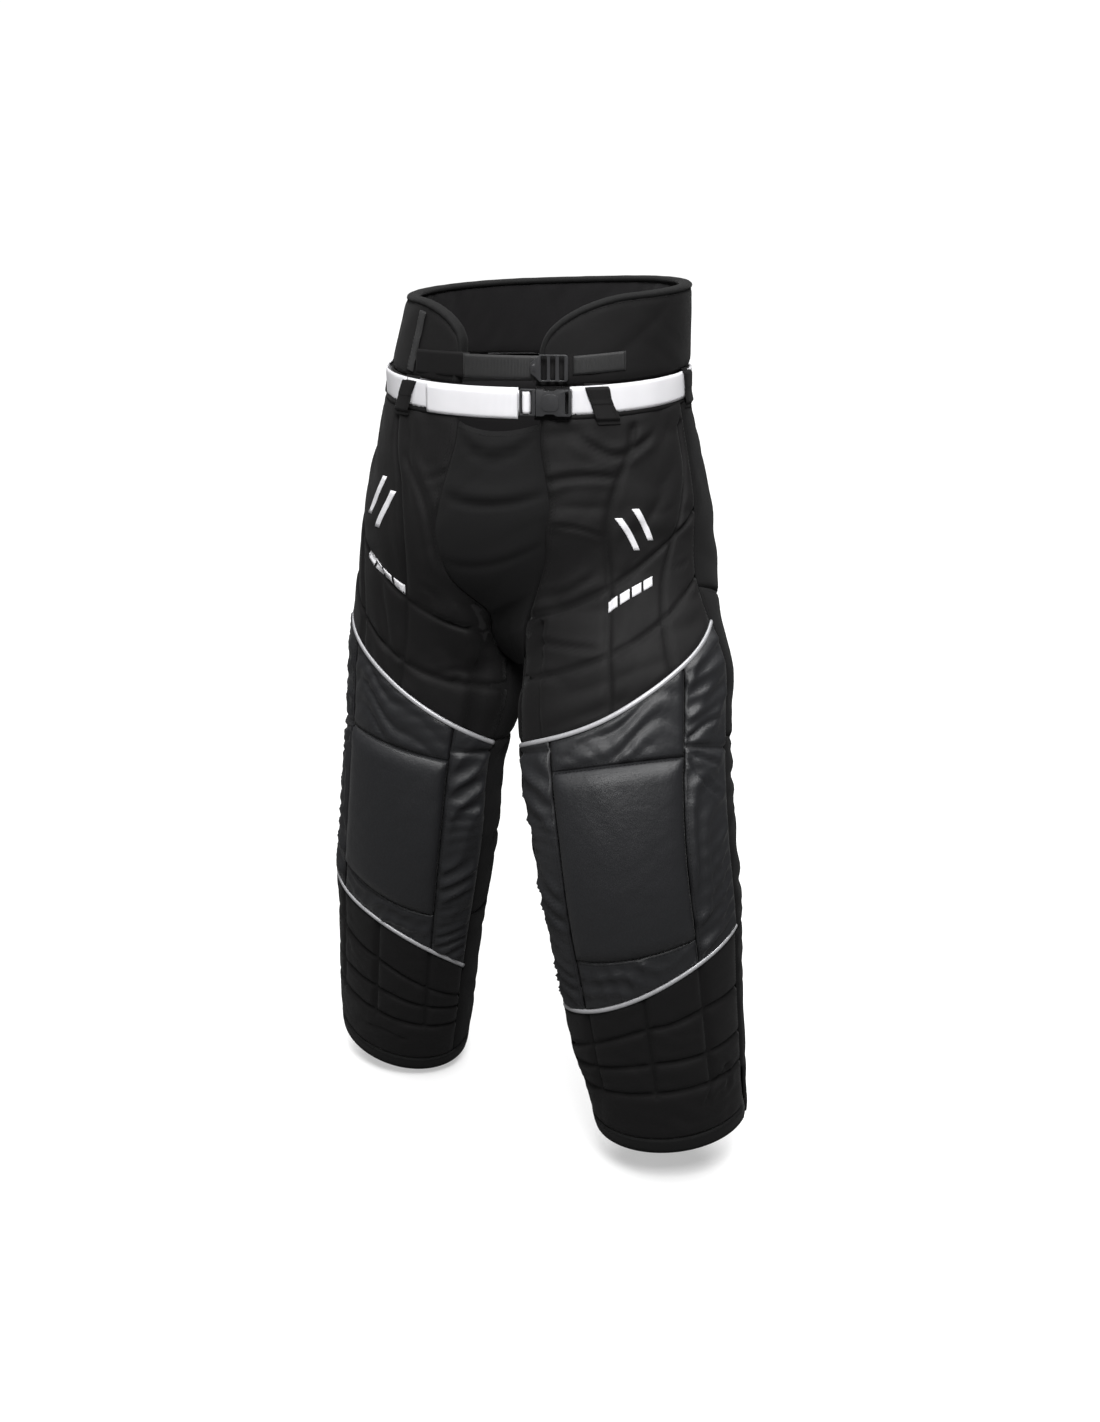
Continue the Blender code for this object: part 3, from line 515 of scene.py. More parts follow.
def lattice(edges, ends, rows_at, columns_at, pitch):
    """A grid over a leg between edges phi = f(s) and ends s = f(phi), with a row or a column on each
    quilting line. Returns phi, s, which points are on a quilting line, and the lines as (kind, index, on)."""
    low, high = (edge if callable(edge) else steady(edge) for edge in edges)
    top, bottom = (end if callable(end) else steady(end) for end in ends)
    down_lines = [top, *rows_at, bottom]
    over_lines = [low, *(line for line, _, _ in columns_at), high]
    guess = np.linspace(float(low(0.45)), float(high(0.45)), 30)
    height = ordered(np.array([line(guess) for line in down_lines]), 0.006)
    at_s = np.linspace(height[0].mean(), height[-1].mean(), 30)
    width = ordered(np.array([line(at_s) for line in over_lines]), 3.0)
    v, row_marks = divided(height, pitch)
    u, column_marks = divided(np.radians(width) * LEG_RADIUS, pitch)
    u_grid, v_grid = np.meshgrid(u, v)
    phi = np.interp(u_grid, range(len(over_lines)), width.mean(1))
    for _round in range(5):
        s = between_lines(ordered(np.array([line(phi) for line in down_lines]), 0.0035), v_grid)
        phi = between_lines(ordered(np.array([line(s) for line in over_lines]), 2.0), u_grid)
    pins = np.zeros(phi.shape, bool)
    seams = []
    for number, line in enumerate(rows_at, 1):
        row = row_marks[number]
        pins[row] = np.abs(s[row] - line(phi[row])) < 0.0004
        seams.append(("row", row, pins[row].copy()))
    for number, (line, start, end) in enumerate(columns_at, 1):
        column = column_marks[number]
        along = s[:, column]
        on = (along >= start) & (along <= end) & (np.abs(phi[:, column] - line(along)) < 0.3)
        pins[:, column] |= on
        seams.append(("column", column, on))
    return phi, s, pins, seams


def leg_panel(name, side, edges, ends, pitch, slot, replaces, rows_at=(), columns_at=(), crown=0.0, lift=0.0,
              depth=SEAM_DEPTH, creases=(), **more):
    """A cover on a leg; rows_at are quilting lines s = f(phi), columns_at are (phi = f(s), top, bottom)."""
    def metres(phi, s):
        return np.stack([np.radians(phi) * LEG_RADIUS, s], -1)

    phi, s, pins, seams = lattice(edges, ends, rows_at, columns_at, pitch)
    leg = LEGS[side]
    border = rim_of(pins.shape)
    flat = leg.point(phi, s)
    to_border = distance_to(flat, border)
    sunk = depth * np.exp(-(to_border / SEAM_WIDTH) ** 2)
    if pins.any():
        sunk = np.maximum(sunk, QUILT_DEPTH * np.exp(-(distance_to(flat, pins) / QUILT_WIDTH) ** 2))
    relief = lift - sunk + crown * (smooth(0.5 + to_border / 0.044) * 2 - 1)
    creases = [(deep, width, [metres(*point) for point in line]) for deep, width, line in creases]
    return Panel(name, lambda offset: leg.point(phi, s, offset), relief, metres(phi, s), slot, pins | border,
                 replaces, knee_follow(side), creases=creases, seams=seams, **more)


def simulate(panels, frames=FRAMES):
    """Sews the panels down at their pins and lets the rest of the cloth swell and buckle."""
    points, faces, held, slack, swell, offset = [], [], [], [], [], 0
    for panel in panels:
        rows, columns = panel.rest.shape[:2]
        index = np.arange(rows * columns).reshape(rows, columns) + offset
        facing = (grid_normals(panel.rest) * panel.outward).sum(-1).mean()
        points.append(panel.shape.reshape(-1, 3))
        quads = quads_of(index)
        faces.append(quads if facing > 0 else quads[:, ::-1])
        held.append(np.where(panel.pins, 1.0, panel.hold).ravel())
        slack.append(np.full(rows * columns, panel.slack / MOST_SLACK))
        swell.append(np.full(rows * columns, panel.swell))
        offset += rows * columns
    data = bpy.data.meshes.new("cloth")
    data.from_pydata(np.concatenate(points).tolist(), [], np.concatenate(faces).tolist())
    made = link("cloth", data)
    for name, weights in (("pin", held), ("slack", slack), ("swell", swell)):
        group = made.vertex_groups.new(name=name)
        weights = np.concatenate(weights)
        for value in np.unique(weights):
            group.add(np.flatnonzero(weights == value).tolist(), float(min(value, 1.0)), "REPLACE")
    cloth = made.modifiers.new("cloth", "CLOTH")
    settings = cloth.settings
    for name, value in CLOTH_SETTINGS.items():
        setattr(settings, name, value)
    settings.effector_weights.gravity = 0
    cloth.collision_settings.use_collision = False
    cloth.collision_settings.use_self_collision = False
    cloth.point_cache.frame_start = 1
    cloth.point_cache.frame_end = frames
    scene = bpy.context.scene
    for number in range(1, frames + 1):
        scene.frame_set(number)
    evaluated = made.evaluated_get(bpy.context.evaluated_depsgraph_get())
    result = np.empty(len(data.vertices) * 3, np.float32)
    evaluated.data.vertices.foreach_get("co", result)
    result = result.reshape(-1, 3).astype(float)
    scene.frame_set(1)
    bpy.data.objects.remove(made, do_unlink=True)
    offset = 0
    for panel in panels:
        count = panel.pins.size
        moved = result[offset:offset + count].reshape(panel.rest.shape) - panel.rest
        length = np.linalg.norm(moved, axis=-1, keepdims=True)
        capped = panel.cap * np.tanh(length / panel.cap)
        panel.shape = panel.rest + moved * capped / np.maximum(length, 1e-9)
        offset += count


MOST_SLACK = 0.25
CLOTH_SETTINGS = {
    "quality": 5, "mass": 0.15, "tension_stiffness": 15, "compression_stiffness": 15, "shear_stiffness": 5,
    "bending_stiffness": 0.08, "tension_damping": 5, "compression_damping": 5, "shear_damping": 5,
    "bending_damping": 0.5, "air_damping": 1.0, "vertex_group_mass": "pin", "pin_stiffness": 1.0,
    "vertex_group_shrink": "slack", "shrink_min": 0.0, "shrink_max": -MOST_SLACK, "use_pressure": True,
    "uniform_pressure_force": 1.2, "vertex_group_pressure": "swell",
}


# ---- what each piece follows ---------------------------------------------------------------------
BLEND_FROM, BLEND_TO = 0.41, 0.61


def knee_follow(side):
    """Bakes each piece of a leg in its place."""
    start, end = (tuple(LEGS[side].centre(s)) for s in (BLEND_FROM, BLEND_TO))

    def follow(made):
        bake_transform(made)
        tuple(start)
        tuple(end)
    return follow


def body_follow(made):
    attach(made, "pants_body")


# ---- materials -----------------------------------------------------------------------------------
class Shader:
    """A Principled material under construction, with short calls for the nodes that these fabrics use."""

    def __init__(self, slot, **numbers):
        self.material = bpy.data.materials.new(f"{slot}_look")
        self.material.use_nodes = True
        self.tree = self.material.node_tree
        self.principled = self.tree.nodes["Principled BSDF"]
        for socket, value in numbers.items():
            self.principled.inputs[socket.replace("_", " ")].default_value = value
        MATERIALS[slot] = self.material

    def node(self, kind, inputs=None, **settings):
        made = self.tree.nodes.new(kind)
        for name, value in settings.items():
            setattr(made, name, value)
        for name, value in (inputs or {}).items():
            if isinstance(value, bpy.types.NodeSocket):
                self.tree.links.new(value, made.inputs[name])
            else:
                made.inputs[name].default_value = value
        return made

    def math(self, operation, first, second=0.0, third=0.0):
        return self.node("ShaderNodeMath", {0: first, 1: second, 2: third}, operation=operation).outputs[0]

    def metres(self):
        return self.node("ShaderNodeUVMap", uv_map="metres").outputs[0]

    def place(self):
        return self.node("ShaderNodeTexCoord").outputs["Object"]

    def threads(self, period, direction, angle=0.0):
        """A ridge for each thread, period metres apart, across the UV direction X or Y."""
        turned = self.node("ShaderNodeMapping", {"Vector": self.metres(), "Rotation": (0, 0, angle)})
        wave = {"Vector": turned.outputs[0], "Scale": pi / 10 / period, "Distortion": 0.25, "Detail": 1.0,
                "Detail Scale": 2.0}
        made = self.node("ShaderNodeTexWave", wave, bands_direction=direction, wave_profile="SIN")
        return made.outputs["Fac"]

    def noise(self, scale, detail=3.0, roughness=0.55):
        numbers = {"Vector": self.place(), "Scale": scale, "Detail": detail, "Roughness": roughness}
        return self.node("ShaderNodeTexNoise", numbers).outputs["Fac"]

    def between(self, factor, low, high):
        return self.node("ShaderNodeMapRange", {"Value": factor, "To Min": low, "To Max": high}).outputs[0]

    def seam(self):
        """1 on a seam, falling to 0 a few millimetres away."""
        return self.node("ShaderNodeAttribute", attribute_name="seam").outputs["Fac"]

    def mix(self, factor, first, second):
        made = self.node("ShaderNodeMix", data_type="RGBA")
        for socket, value in ((made.inputs[0], factor), (made.inputs[6], first), (made.inputs[7], second)):
            if isinstance(value, bpy.types.NodeSocket):
                self.tree.links.new(value, socket)
            else:
                socket.default_value = value if socket.type == "VALUE" else (*value, 1)
        return made.outputs[2]

    def colour(self, socket):
        self.tree.links.new(socket, self.principled.inputs["Base Color"])

    def glow(self, socket):
        self.principled.inputs["Emission Color"].default_value = (1, 1, 1, 1)
        self.tree.links.new(socket, self.principled.inputs["Emission Strength"])

    def roughness(self, socket):
        self.tree.links.new(socket, self.principled.inputs["Roughness"])

    def bump(self, *layers):
        """Bumps stacked on each other: (height, strength, distance in metres)."""
        normal = None
        for height, strength, distance in layers:
            inputs = {"Height": height, "Strength": strength, "Distance": distance}
            if normal is not None:
                inputs["Normal"] = normal
            normal = self.node("ShaderNodeBump", inputs).outputs[0]
        self.tree.links.new(normal, self.principled.inputs["Normal"])


def scaled(colour, by):
    return tuple(part * by for part in colour)


def cloth_material(slot, colour, rough, thread, weave, ridge=0.5, seam_shade_level=0.55, crinkle=0.0, **numbers):
    """Woven or knitted cloth: crossing threads, soft fuzz, uneven dye, and painted shade in the seams.

    thread is the threads' period, ridge their relief and crinkle that of fine creases; the setting between
    ridge and crinkle is how dark the painted shade makes the cloth in a seam.
    """
    shader = Shader(slot, **numbers)
    if weave == "plain":
        height = shader.math("MULTIPLY", shader.threads(thread, "X"), shader.threads(thread, "Y"))
    elif weave == "twill":
        height = shader.math("ADD", shader.threads(thread, "X", radians(38)),
                             shader.math("MULTIPLY", shader.threads(thread, "Y"), 0.35))
    else:
        height = shader.math("MAXIMUM", shader.threads(thread, "X"),
                             shader.math("MULTIPLY", shader.threads(thread * 1.6, "Y"), 0.6))
    fuzz = shader.noise(1400, 2.0)
    dye = shader.mix(shader.noise(7, 4.0), scaled(colour, 0.82), scaled(colour, 1.20))
    heather = shader.mix(fuzz, scaled(colour, 0.75), scaled(colour, 1.30))
    cloth = shader.mix(0.45, dye, heather)
    # painted shade: the colour is darkened, unevenly, in and beside each seam
    painted_seam_shade = shader.math("MULTIPLY", shader.seam(), shader.between(shader.noise(55, 3.0), 0.6, 1.0))
    cloth = shader.mix(painted_seam_shade, cloth, scaled(colour, seam_shade_level))
    shader.colour(shader.mix(shader.math("MULTIPLY", height, 0.35), cloth, scaled(colour, 1.35)))
    shader.roughness(shader.between(shader.noise(30, 3.0), rough - 0.06, rough + 0.06))
    creased = shader.noise(75, 4.0, 0.6)
    shader.bump((shader.noise(26, 3.0), 0.25, 0.0012), (creased, crinkle, 0.0016), (height, ridge, 0.00012),
                (fuzz, 0.25, 0.00010))


def webbing_material(slot, colour, rough, rib, **numbers):
    """Woven tape: ribs across it, fine warp threads along it, and slightly soiled edges."""
    shader = Shader(slot, **numbers)
    ribs = shader.threads(rib, "X")
    warp = shader.threads(rib * 0.5, "Y")
    height = shader.math("ADD", ribs, shader.math("MULTIPLY", warp, 0.5))
    tint = shader.mix(shader.noise(18, 4.0), scaled(colour, 0.90), scaled(colour, 1.04))
    tint = shader.mix(shader.math("MULTIPLY", shader.seam(), 0.5), tint, scaled(colour, 0.72))
    shade = shader.math("MULTIPLY", shader.math("SUBTRACT", 1.0, ribs), 0.30)
    shader.colour(shader.mix(shade, tint, scaled(colour, 0.62)))
    shader.roughness(shader.between(warp, rough - 0.08, rough + 0.05))
    shader.bump((shader.noise(40, 2.0), 0.2, 0.0008), (height, 0.7, 0.00022))


def plastic_material(slot, colour, rough):
    """Moulded acetal: satin, with fine spark-eroded grain, handling marks, and a painted highlight that makes
    sharp edges lighter.
    """
    shader = Shader(slot, IOR=1.48)
    grain = shader.noise(2600, 2.0)
    marks = shader.noise(160, 5.0, 0.7)
    # painted highlight: sharp edges are made lighter in colour
    edge_highlight = shader.node("ShaderNodeNewGeometry").outputs["Pointiness"]
    edge_highlight = shader.node("ShaderNodeMapRange",
                         {"Value": edge_highlight, "From Min": 0.52, "From Max": 0.60}).outputs[0]
    tint = shader.mix(shader.math("MULTIPLY", marks, 0.3), colour, scaled(colour, 1.5))
    shader.colour(shader.mix(shader.math("MULTIPLY", edge_highlight, 0.5), tint, scaled(colour, 3.0)))
    shader.roughness(shader.between(marks, rough - 0.07, rough + 0.10))
    shader.bump((grain, 0.25, 0.00008), (marks, 0.10, 0.00015))


def reflective_material(slot, colour):
    """Retro-reflective tape: fine glass-bead grain in a faint hexagonal print."""
    shader = Shader(slot, Metallic=0.35)
    beads = shader.noise(3200, 1.0)
    cells = shader.node("ShaderNodeTexVoronoi", {"Vector": shader.metres(), "Scale": 900.0},
                        feature="DISTANCE_TO_EDGE").outputs["Distance"]
    tint = shader.mix(shader.noise(90, 3.0), scaled(colour, 0.85), scaled(colour, 1.10))
    shader.colour(shader.mix(shader.math("MULTIPLY", beads, 0.5), tint, scaled(colour, 0.8)))
    shader.roughness(shader.between(beads, 0.38, 0.55))
    shader.bump((cells, 0.2, 0.0001), (beads, 0.2, 0.00005))


def make_materials():
    """Every slot's material: the colour, roughness and thread size, then what is special to it."""
    cloth_material("microfibre", (0.0047, 0.0044, 0.0046), 0.72, 0.00055, "plain", crinkle=0.20,
                   Sheen_Weight=0.03, Sheen_Roughness=0.45, Specular_IOR_Level=0.20)
    cloth_material("stretch", (0.0074, 0.0073, 0.0075), 0.86, 0.00075, "knit", ridge=0.7,
                   Sheen_Weight=0.02, Sheen_Roughness=0.5, Specular_IOR_Level=0.12)
    cloth_material("satin_nylon", (0.0080, 0.0083, 0.0097), 0.47, 0.00050, "twill", ridge=0.45, crinkle=0.50,
                   Sheen_Weight=0.03, Sheen_Roughness=0.35, Specular_IOR_Level=0.52)
    cloth_material("lining", (0.0085, 0.0080, 0.0086), 0.92, 0.00110, "knit", ridge=0.9,
                   Sheen_Weight=0.06, Sheen_Roughness=0.6, Specular_IOR_Level=0.15)
    cloth_material("foam", (0.0300, 0.0300, 0.0315), 0.93, 0.00140, "knit", ridge=0.8,
                   Sheen_Weight=0.15, Sheen_Roughness=0.6, Specular_IOR_Level=0.15)
    cloth_material("binding", (0.0036, 0.0036, 0.0037), 0.80, 0.00080, "knit", ridge=0.9,
                   Sheen_Weight=0.03, Specular_IOR_Level=0.2)
    webbing_material("black_webbing", (0.0092, 0.0092, 0.0095), 0.60, 0.0016, Sheen_Weight=0.05)
    webbing_material("white_webbing", (0.84, 0.835, 0.860), 0.68, 0.0013, Sheen_Weight=0.05)
    plastic_material("buckle_plastic", (0.0260, 0.0260, 0.0275), 0.33)
    reflective_material("reflective", (0.44, 0.44, 0.455))


# ---- quilting lines ------------------------------------------------------------------------------
def thigh_quilt_upper(phi):
    return upper_piping(LEFT)(phi) - 0.141


def thigh_quilt_lower(phi):
    return upper_piping(LEFT)(phi) - 0.076 + 0.022 * across_front(phi)


def thigh_line_outer(s):
    return 31 + 36 * smooth(1 - (np.asarray(s) - 0.05) / 0.27)


def thigh_line_middle(s):
    rows = ((0.02, 25), (0.055, 20), (0.097, 8), (0.167, -3), (0.242, -9), (0.292, -12), (0.40, -15))
    return read_rows(rows, np.asarray(s, float))[..., 0]


def thigh_line_inner(s):
    return -57 - 7 * smooth((np.asarray(s) - 0.25) / 0.06)


def shin_quilt(level, dip, rise=0.0):
    """A line across the shin: it dips towards the inner seam and rises towards the outer one."""
    def place(phi):
        inward = np.maximum(-np.asarray(phi, float), 0) / -INNER_SEAM
        return level - rise * smooth(np.asarray(phi, float) / 50) + dip * inward ** 1.5
    return place


SHIN_QUILTS = (shin_quilt(0.728, 0.060, 0.013), shin_quilt(0.780, 0.028), shin_quilt(0.824, 0.014))
SHIN_COLUMNS = (-56, -8, 41)


def steady(value):
    """The same value all along a line."""
    return lambda at: np.full_like(np.asarray(at, float), value)


def inset(function, by):
    """The same line moved by a distance."""
    return lambda value: function(value) + by


# ---- legs ----------------------------------------------------------------------------------------
# drape folds: (depth, width, points as (phi, s))
THIGH_CREASES = {
    LEFT: ((0.0046, 0.0036, ((-38, 0.112), (-21, 0.088), (-4, 0.083), (14, 0.088))),
           (0.0046, 0.0036, ((-12, 0.028), (-4, 0.046), (6, 0.059), (16, 0.060), (30, 0.048), (42, 0.036))),
           (0.0034, 0.0032, ((-72, 0.288), (-46, 0.303), (-14, 0.311))),
           (0.0080, 0.0070, ((-62, 0.244), (-66, 0.264), (-74, 0.290))),
           (0.0030, 0.0032, ((-56, 0.246), (-36, 0.241), (-16, 0.222))),
           (0.0020, 0.0030, ((-78, 0.318), (-60, 0.333), (-40, 0.345))),
           (0.0020, 0.0032, ((-30, 0.150), (-16, 0.160), (-4, 0.176))),
           (0.0018, 0.0028, ((44, 0.205), (54, 0.212), (66, 0.205)))),
    RIGHT: ((0.0040, 0.0036, ((12, 0.060), (-4, 0.093), (-14, 0.125), (-22, 0.171), (-28, 0.206))),
            (0.0030, 0.0032, ((-38, 0.222), (-48, 0.292), (-58, 0.352))),
            (0.0120, 0.0085, ((-44, 0.222), (-51, 0.246), (-61, 0.276), (-70, 0.300))),
            (0.0022, 0.0028, ((-8, 0.094), (-16, 0.086), (-24, 0.074))),
            (0.0020, 0.0030, ((-16, 0.215), (-28, 0.228), (-38, 0.252))),
            (0.0018, 0.0030, ((-36, 0.330), (-50, 0.318), (-66, 0.322)))),
}
BOLSTER_TIE_S = 0.418
# creases that fan out from the knot where the outer bolster's tie meets the pad
KNOT_CREASES = tuple((0.0040, 0.0026, ((41, BOLSTER_TIE_S + near), (52, BOLSTER_TIE_S + far),
                                       (68, BOLSTER_TIE_S + 1.7 * far)))
                     for near, far in ((-0.006, -0.022), (0.004, 0.012), (0.008, 0.032)))
SHIN_CREASES = {
    LEFT: ((0.0030, 0.0034, ((33, 0.855), (38, 0.838), (50, 0.818), (62, 0.808))),
           (0.0022, 0.0034, ((52, 0.800), (56, 0.826), (54, 0.850)))),
    RIGHT: ((0.0022, 0.0032, ((-50, 0.862), (-20, 0.852), (6, 0.858))),),
}
FRONT_PITCH, GATHER_PITCH, BACK_PITCH = 0.0042, 0.0034, 0.0070
LINING_IN, LINING_TACKED, LINING_THICK = 0.0185, 0.0045, 0.0012
TAPE_IN, TAPE_REACH = 0.0072, 4.0      # the seat tape's depth, and its reach on each side in degrees
FOAM_DEPTH = (-0.0075, -0.0165)
COLLAR_FOAM_DEPTH = (-0.0032, -0.0100)


def leg_covers(word, side):
    """The covers of one leg, by short name, from the waist to the hem."""
    def cover(name, *args, **more):
        node = f"{word}_{name}"
        return leg_panel(f"{node}_cloth", side, *args, replaces=[node], **more)

    def calf_edge(s):
        return OUTER_SEAM + (VENT_END - OUTER_SEAM) * smooth((np.asarray(s, float) - VENT_TOP_S) / 0.02)

    lean = 1 if side == LEFT else -1
    hem_top = HEM_S - HEM_BAND
    over_knee, under_knee = upper_piping(side), lower_piping(side)
    pad_top, pad_bottom = pad_ends(side)
    behind, pad = (OUTER_SEAM, back_inner_edge(side)), (PAD_INNER, PAD_OUTER)
    thigh_columns = ((thigh_line_inner, 0.27, 0.42), (thigh_line_middle, 0.03, 0.42),
                     (thigh_line_outer, 0.03, 0.42))
    shin_columns = tuple((steady(phi), 0.60, 0.832) for phi in SHIN_COLUMNS)
    bolster = {"rows_at": (steady(BOLSTER_TIE_S),), "slack": 0.07, "cap": 0.010, "lift": 0.0015, "fill": 0.5,
               "hold": 0.12}
    return {
        "thigh": cover(
            "thigh_front_panel", (front_inner_edge(side), OUTER_SEAM), (panel_top, over_knee), FRONT_PITCH,
            "microfibre", rows_at=(thigh_quilt_upper, thigh_quilt_lower), columns_at=thigh_columns,
            slack=0.035, cap=0.0070, fill=0.7, folds=((30 * lean, 0.075, 0.0036), (-34, 0.036, 0.0014)),
            creases=THIGH_CREASES[side]),
        "seat": cover(
            "seat_panel", behind, (panel_top, YOKE_S), BACK_PITCH, "stretch", slack=0.03, swell=0.5,
            folds=((62, 0.090, 0.0025), (15, 0.060, 0.0012))),
        "back": cover(
            "thigh_back", behind, (YOKE_S, KNEE_BACK_S[0]), BACK_PITCH, "stretch", slack=0.03, swell=0.5,
            folds=((20, 0.060, 0.0025), (-25, 0.045, 0.0012))),
        "knee_back": cover(
            "knee_back", (OUTER_SEAM, INNER_SEAM + 360), KNEE_BACK_S, BACK_PITCH, "stretch", slack=0.06,
            cap=0.008, swell=0.5, folds=((6, 0.034, 0.0038), (-14, 0.05, 0.0020))),
        "upper_gusset": cover(
            "knee_gusset_upper", pad, (over_knee, pad_top), GATHER_PITCH, "satin_nylon", slack=0.08,
            cap=0.0085, fill=0.4, hold=0.10, folds=((-16, 0.027, 0.0048), (24, 0.019, 0.0020))),
        "lower_gusset": cover(
            "knee_gusset_lower", pad, (pad_bottom, under_knee), GATHER_PITCH, "satin_nylon", slack=0.07,
            cap=0.0080, fill=0.4, hold=0.10, folds=((-6, 0.024, -0.0046), (42, 0.020, -0.0024))),
        "pad": cover(
            "knee_pad_cover", pad, (pad_top, pad_bottom), FRONT_PITCH, "satin_nylon", crown=0.0065,
            slack=0.008, cap=0.003, swell=0.7, hold=0.08, fill=1.0,
            folds=((4, 0.034, 0.0004), (84, 0.060, 0.0005))),
        "inner_bolster": cover(
            "knee_bolster_inner", (INNER_SEAM, PAD_INNER), (over_knee, under_knee), GATHER_PITCH,
            "satin_nylon", folds=((40, 0.024, -0.0080), (18, 0.015, -0.0026)), **bolster),
        "outer_bolster": cover(
            "knee_bolster_outer", (PAD_OUTER, OUTER_SEAM), (over_knee, under_knee), GATHER_PITCH,
            "satin_nylon", folds=((-60, 0.027, -0.0095), (-34, 0.016, -0.0030)), creases=KNOT_CREASES,
            **bolster),
        "shin": cover(
            "shin_panel", (INNER_SEAM, OUTER_SEAM), (under_knee, hem_top), FRONT_PITCH, "microfibre",
            rows_at=SHIN_QUILTS, columns_at=shin_columns, slack=0.03, cap=0.0055, fill=0.7,
            folds=((8 * lean, 0.024, 0.0012), (-35, 0.055, 0.0014)), creases=SHIN_CREASES[side]),
        "calf": cover(
            "calf_back", (calf_edge, INNER_SEAM + 360), (KNEE_BACK_S[1], hem_top), BACK_PITCH, "stretch",
            slack=0.04, swell=0.5, folds=((12, 0.050, 0.0022), (-30, 0.060, 0.0012))),
        "hem": cover(
            "hem_band", (VENT_END, OUTER_SEAM + 360), (hem_top, HEM_S), 0.0060, "binding", slack=0.01,
            cap=0.001, depth=0.0008, thick=0.0034, hold=0.3, fill=0.3),
    }


def tube(points, outward, wide, high, sides=10):
    """A closed tube of elliptical section along points: wide across the surface and high off it."""
    points, outward = np.asarray(points), np.asarray(outward)
    along = np.gradient(points, axis=0)
    along /= np.linalg.norm(along, axis=1, keepdims=True)
    across = np.cross(along, outward)
    across /= np.linalg.norm(across, axis=1, keepdims=True)
    up = np.cross(across, along)
    turn = np.linspace(0, 2 * pi, sides, endpoint=False)
    wide, high = np.broadcast_to(wide, len(points)), np.broadcast_to(high, len(points))
    rings = (points[:, None] + across[:, None] * (np.cos(turn)[None] * wide[:, None] / 2)[..., None]
             + up[:, None] * (np.sin(turn)[None] * high[:, None] / 2)[..., None])
    faces = []
    for i in range(len(points) - 1):
        for k in range(sides):
            a, b = i * sides + k, i * sides + (k + 1) % sides
            faces.append((a, b, b + sides, a + sides))
    last = (len(points) - 1) * sides
    faces.append(tuple(range(sides))[::-1])
    faces.append(tuple(last + k for k in range(sides)))
    length = np.concatenate([[0], np.cumsum(np.linalg.norm(np.diff(points, axis=0), axis=1))])
    u = np.repeat(length[:, None], sides, 1)
    v = np.repeat((turn / (2 * pi) * (wide.mean() + high.mean()) * 1.6)[None], len(points), 0)
    return facing_out(rings.reshape(-1, 3), faces), np.stack([u, v], -1)


def facing_out(points, faces):
    """points and faces, with the faces turned round if the closed mesh is inside out."""
    middle = points.mean(0)
    volume = 0.0
    for face in faces:
        for b, c in zip(face[1:], face[2:]):
            volume += np.dot(points[face[0]] - middle, np.cross(points[b] - middle, points[c] - middle))
    return (points, faces) if volume > 0 else (points, [face[::-1] for face in faces])


def piping(word, side, place, curve):
    """A reflective cord laid on the seam above or below the knee."""
    phi = np.linspace(INNER_SEAM, OUTER_SEAM, 90)
    leg = LEGS[side]
    core = leg.point(phi, curve(phi), -0.0006)
    outward = leg.point(phi, curve(phi), 0.001) - leg.point(phi, curve(phi), 0.0)
    (points, faces), uvs = tube(core, outward, 0.0056, 0.0036)
    made = add_object(f"{word}_piping_{place}_cord", points, faces, uvs, "reflective")
    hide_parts(f"{word}_piping_{place}")
    knee_follow(side)(made)


def leg_lining(word, side):
    """The knitted tube inside a leg, from the waist to the hem, tacked to the covers at its edges.

    It lies shallower at the waist and the hem, where it is sewn in, and behind the vent.
    """
    s, u = np.meshgrid(np.linspace(0.008, HEM_S - 0.002, 110), np.linspace(0, 1, 60), indexing="ij")
    low, high = front_inner_edge(side)(s), back_inner_edge(side)(s)
    phi = low + (high - low) * u
    free = smooth(np.minimum(u, 1 - u) / 0.10)
    closed = smooth((s - 0.27) / 0.05)
    at_hem, at_waist = smooth((s - (HEM_S - 0.030)) / 0.026), smooth((0.050 - s) / 0.030)
    vent_middle = (OUTER_SEAM + VENT_END) / 2
    at_vent = smooth(1 - np.abs(phi - vent_middle) / 26) * smooth((s - VENT_TOP_S + 0.03) / 0.03)
    depth = LINING_TACKED + (LINING_IN - LINING_TACKED) * np.maximum(free, closed)
    depth = depth * (1 - 0.72 * at_hem) * (1 - 0.62 * at_waist)
    depth = depth * (1 - 0.70 * at_vent)
    wrinkle = 0.0011 * np.sin(phi * 0.21 + np.sin(s * 60)) * np.sin(s * 95 + phi * 0.03)
    outer, inner = (LEGS[side].point(phi, s, -depth + wrinkle * free - by) for by in (0, LINING_THICK))
    uv = np.stack([np.radians(phi) * 0.09, s], -1)
    made = closed_sheet(f"{word}_leg_lining", outer, inner, uv, "lining")
    knee_follow(side)(made)
    declare_sheet(outer, rests_on=[f"{word}_thigh_front_panel_cloth"])


def seam_tape(name, grid, rests_on, follow):
    """A flat tape inside a join; grid holds its upper face, and the tape lies below it."""
    lines = np.arange(grid.shape[0]) * 0.0025
    uv = np.stack(np.meshgrid(lines, np.linspace(0, 0.014, grid.shape[1]), indexing="ij"), -1)
    lower = grid - 0.0008 * grid_normals(grid)
    made = closed_sheet(name, grid, lower, uv, "binding")
    follow(made)
    declare_sheet(grid, rests_on=rests_on)


def seat_tape():
    """The tape on the seat's join, over the edges of both leg linings."""
    s = np.linspace(0.004, 0.150, 60)
    left, right = (LEGS[side].point(back_inner_edge(side)(s) - TAPE_REACH, s, -TAPE_IN)[:, None]
                   for side in (LEFT, RIGHT))
    across = np.linspace(0, 1, 9)[None, :, None]
    seam_tape("seat_seam_tape", left * (1 - across) + right * across, ["left_leg_lining"], body_follow)


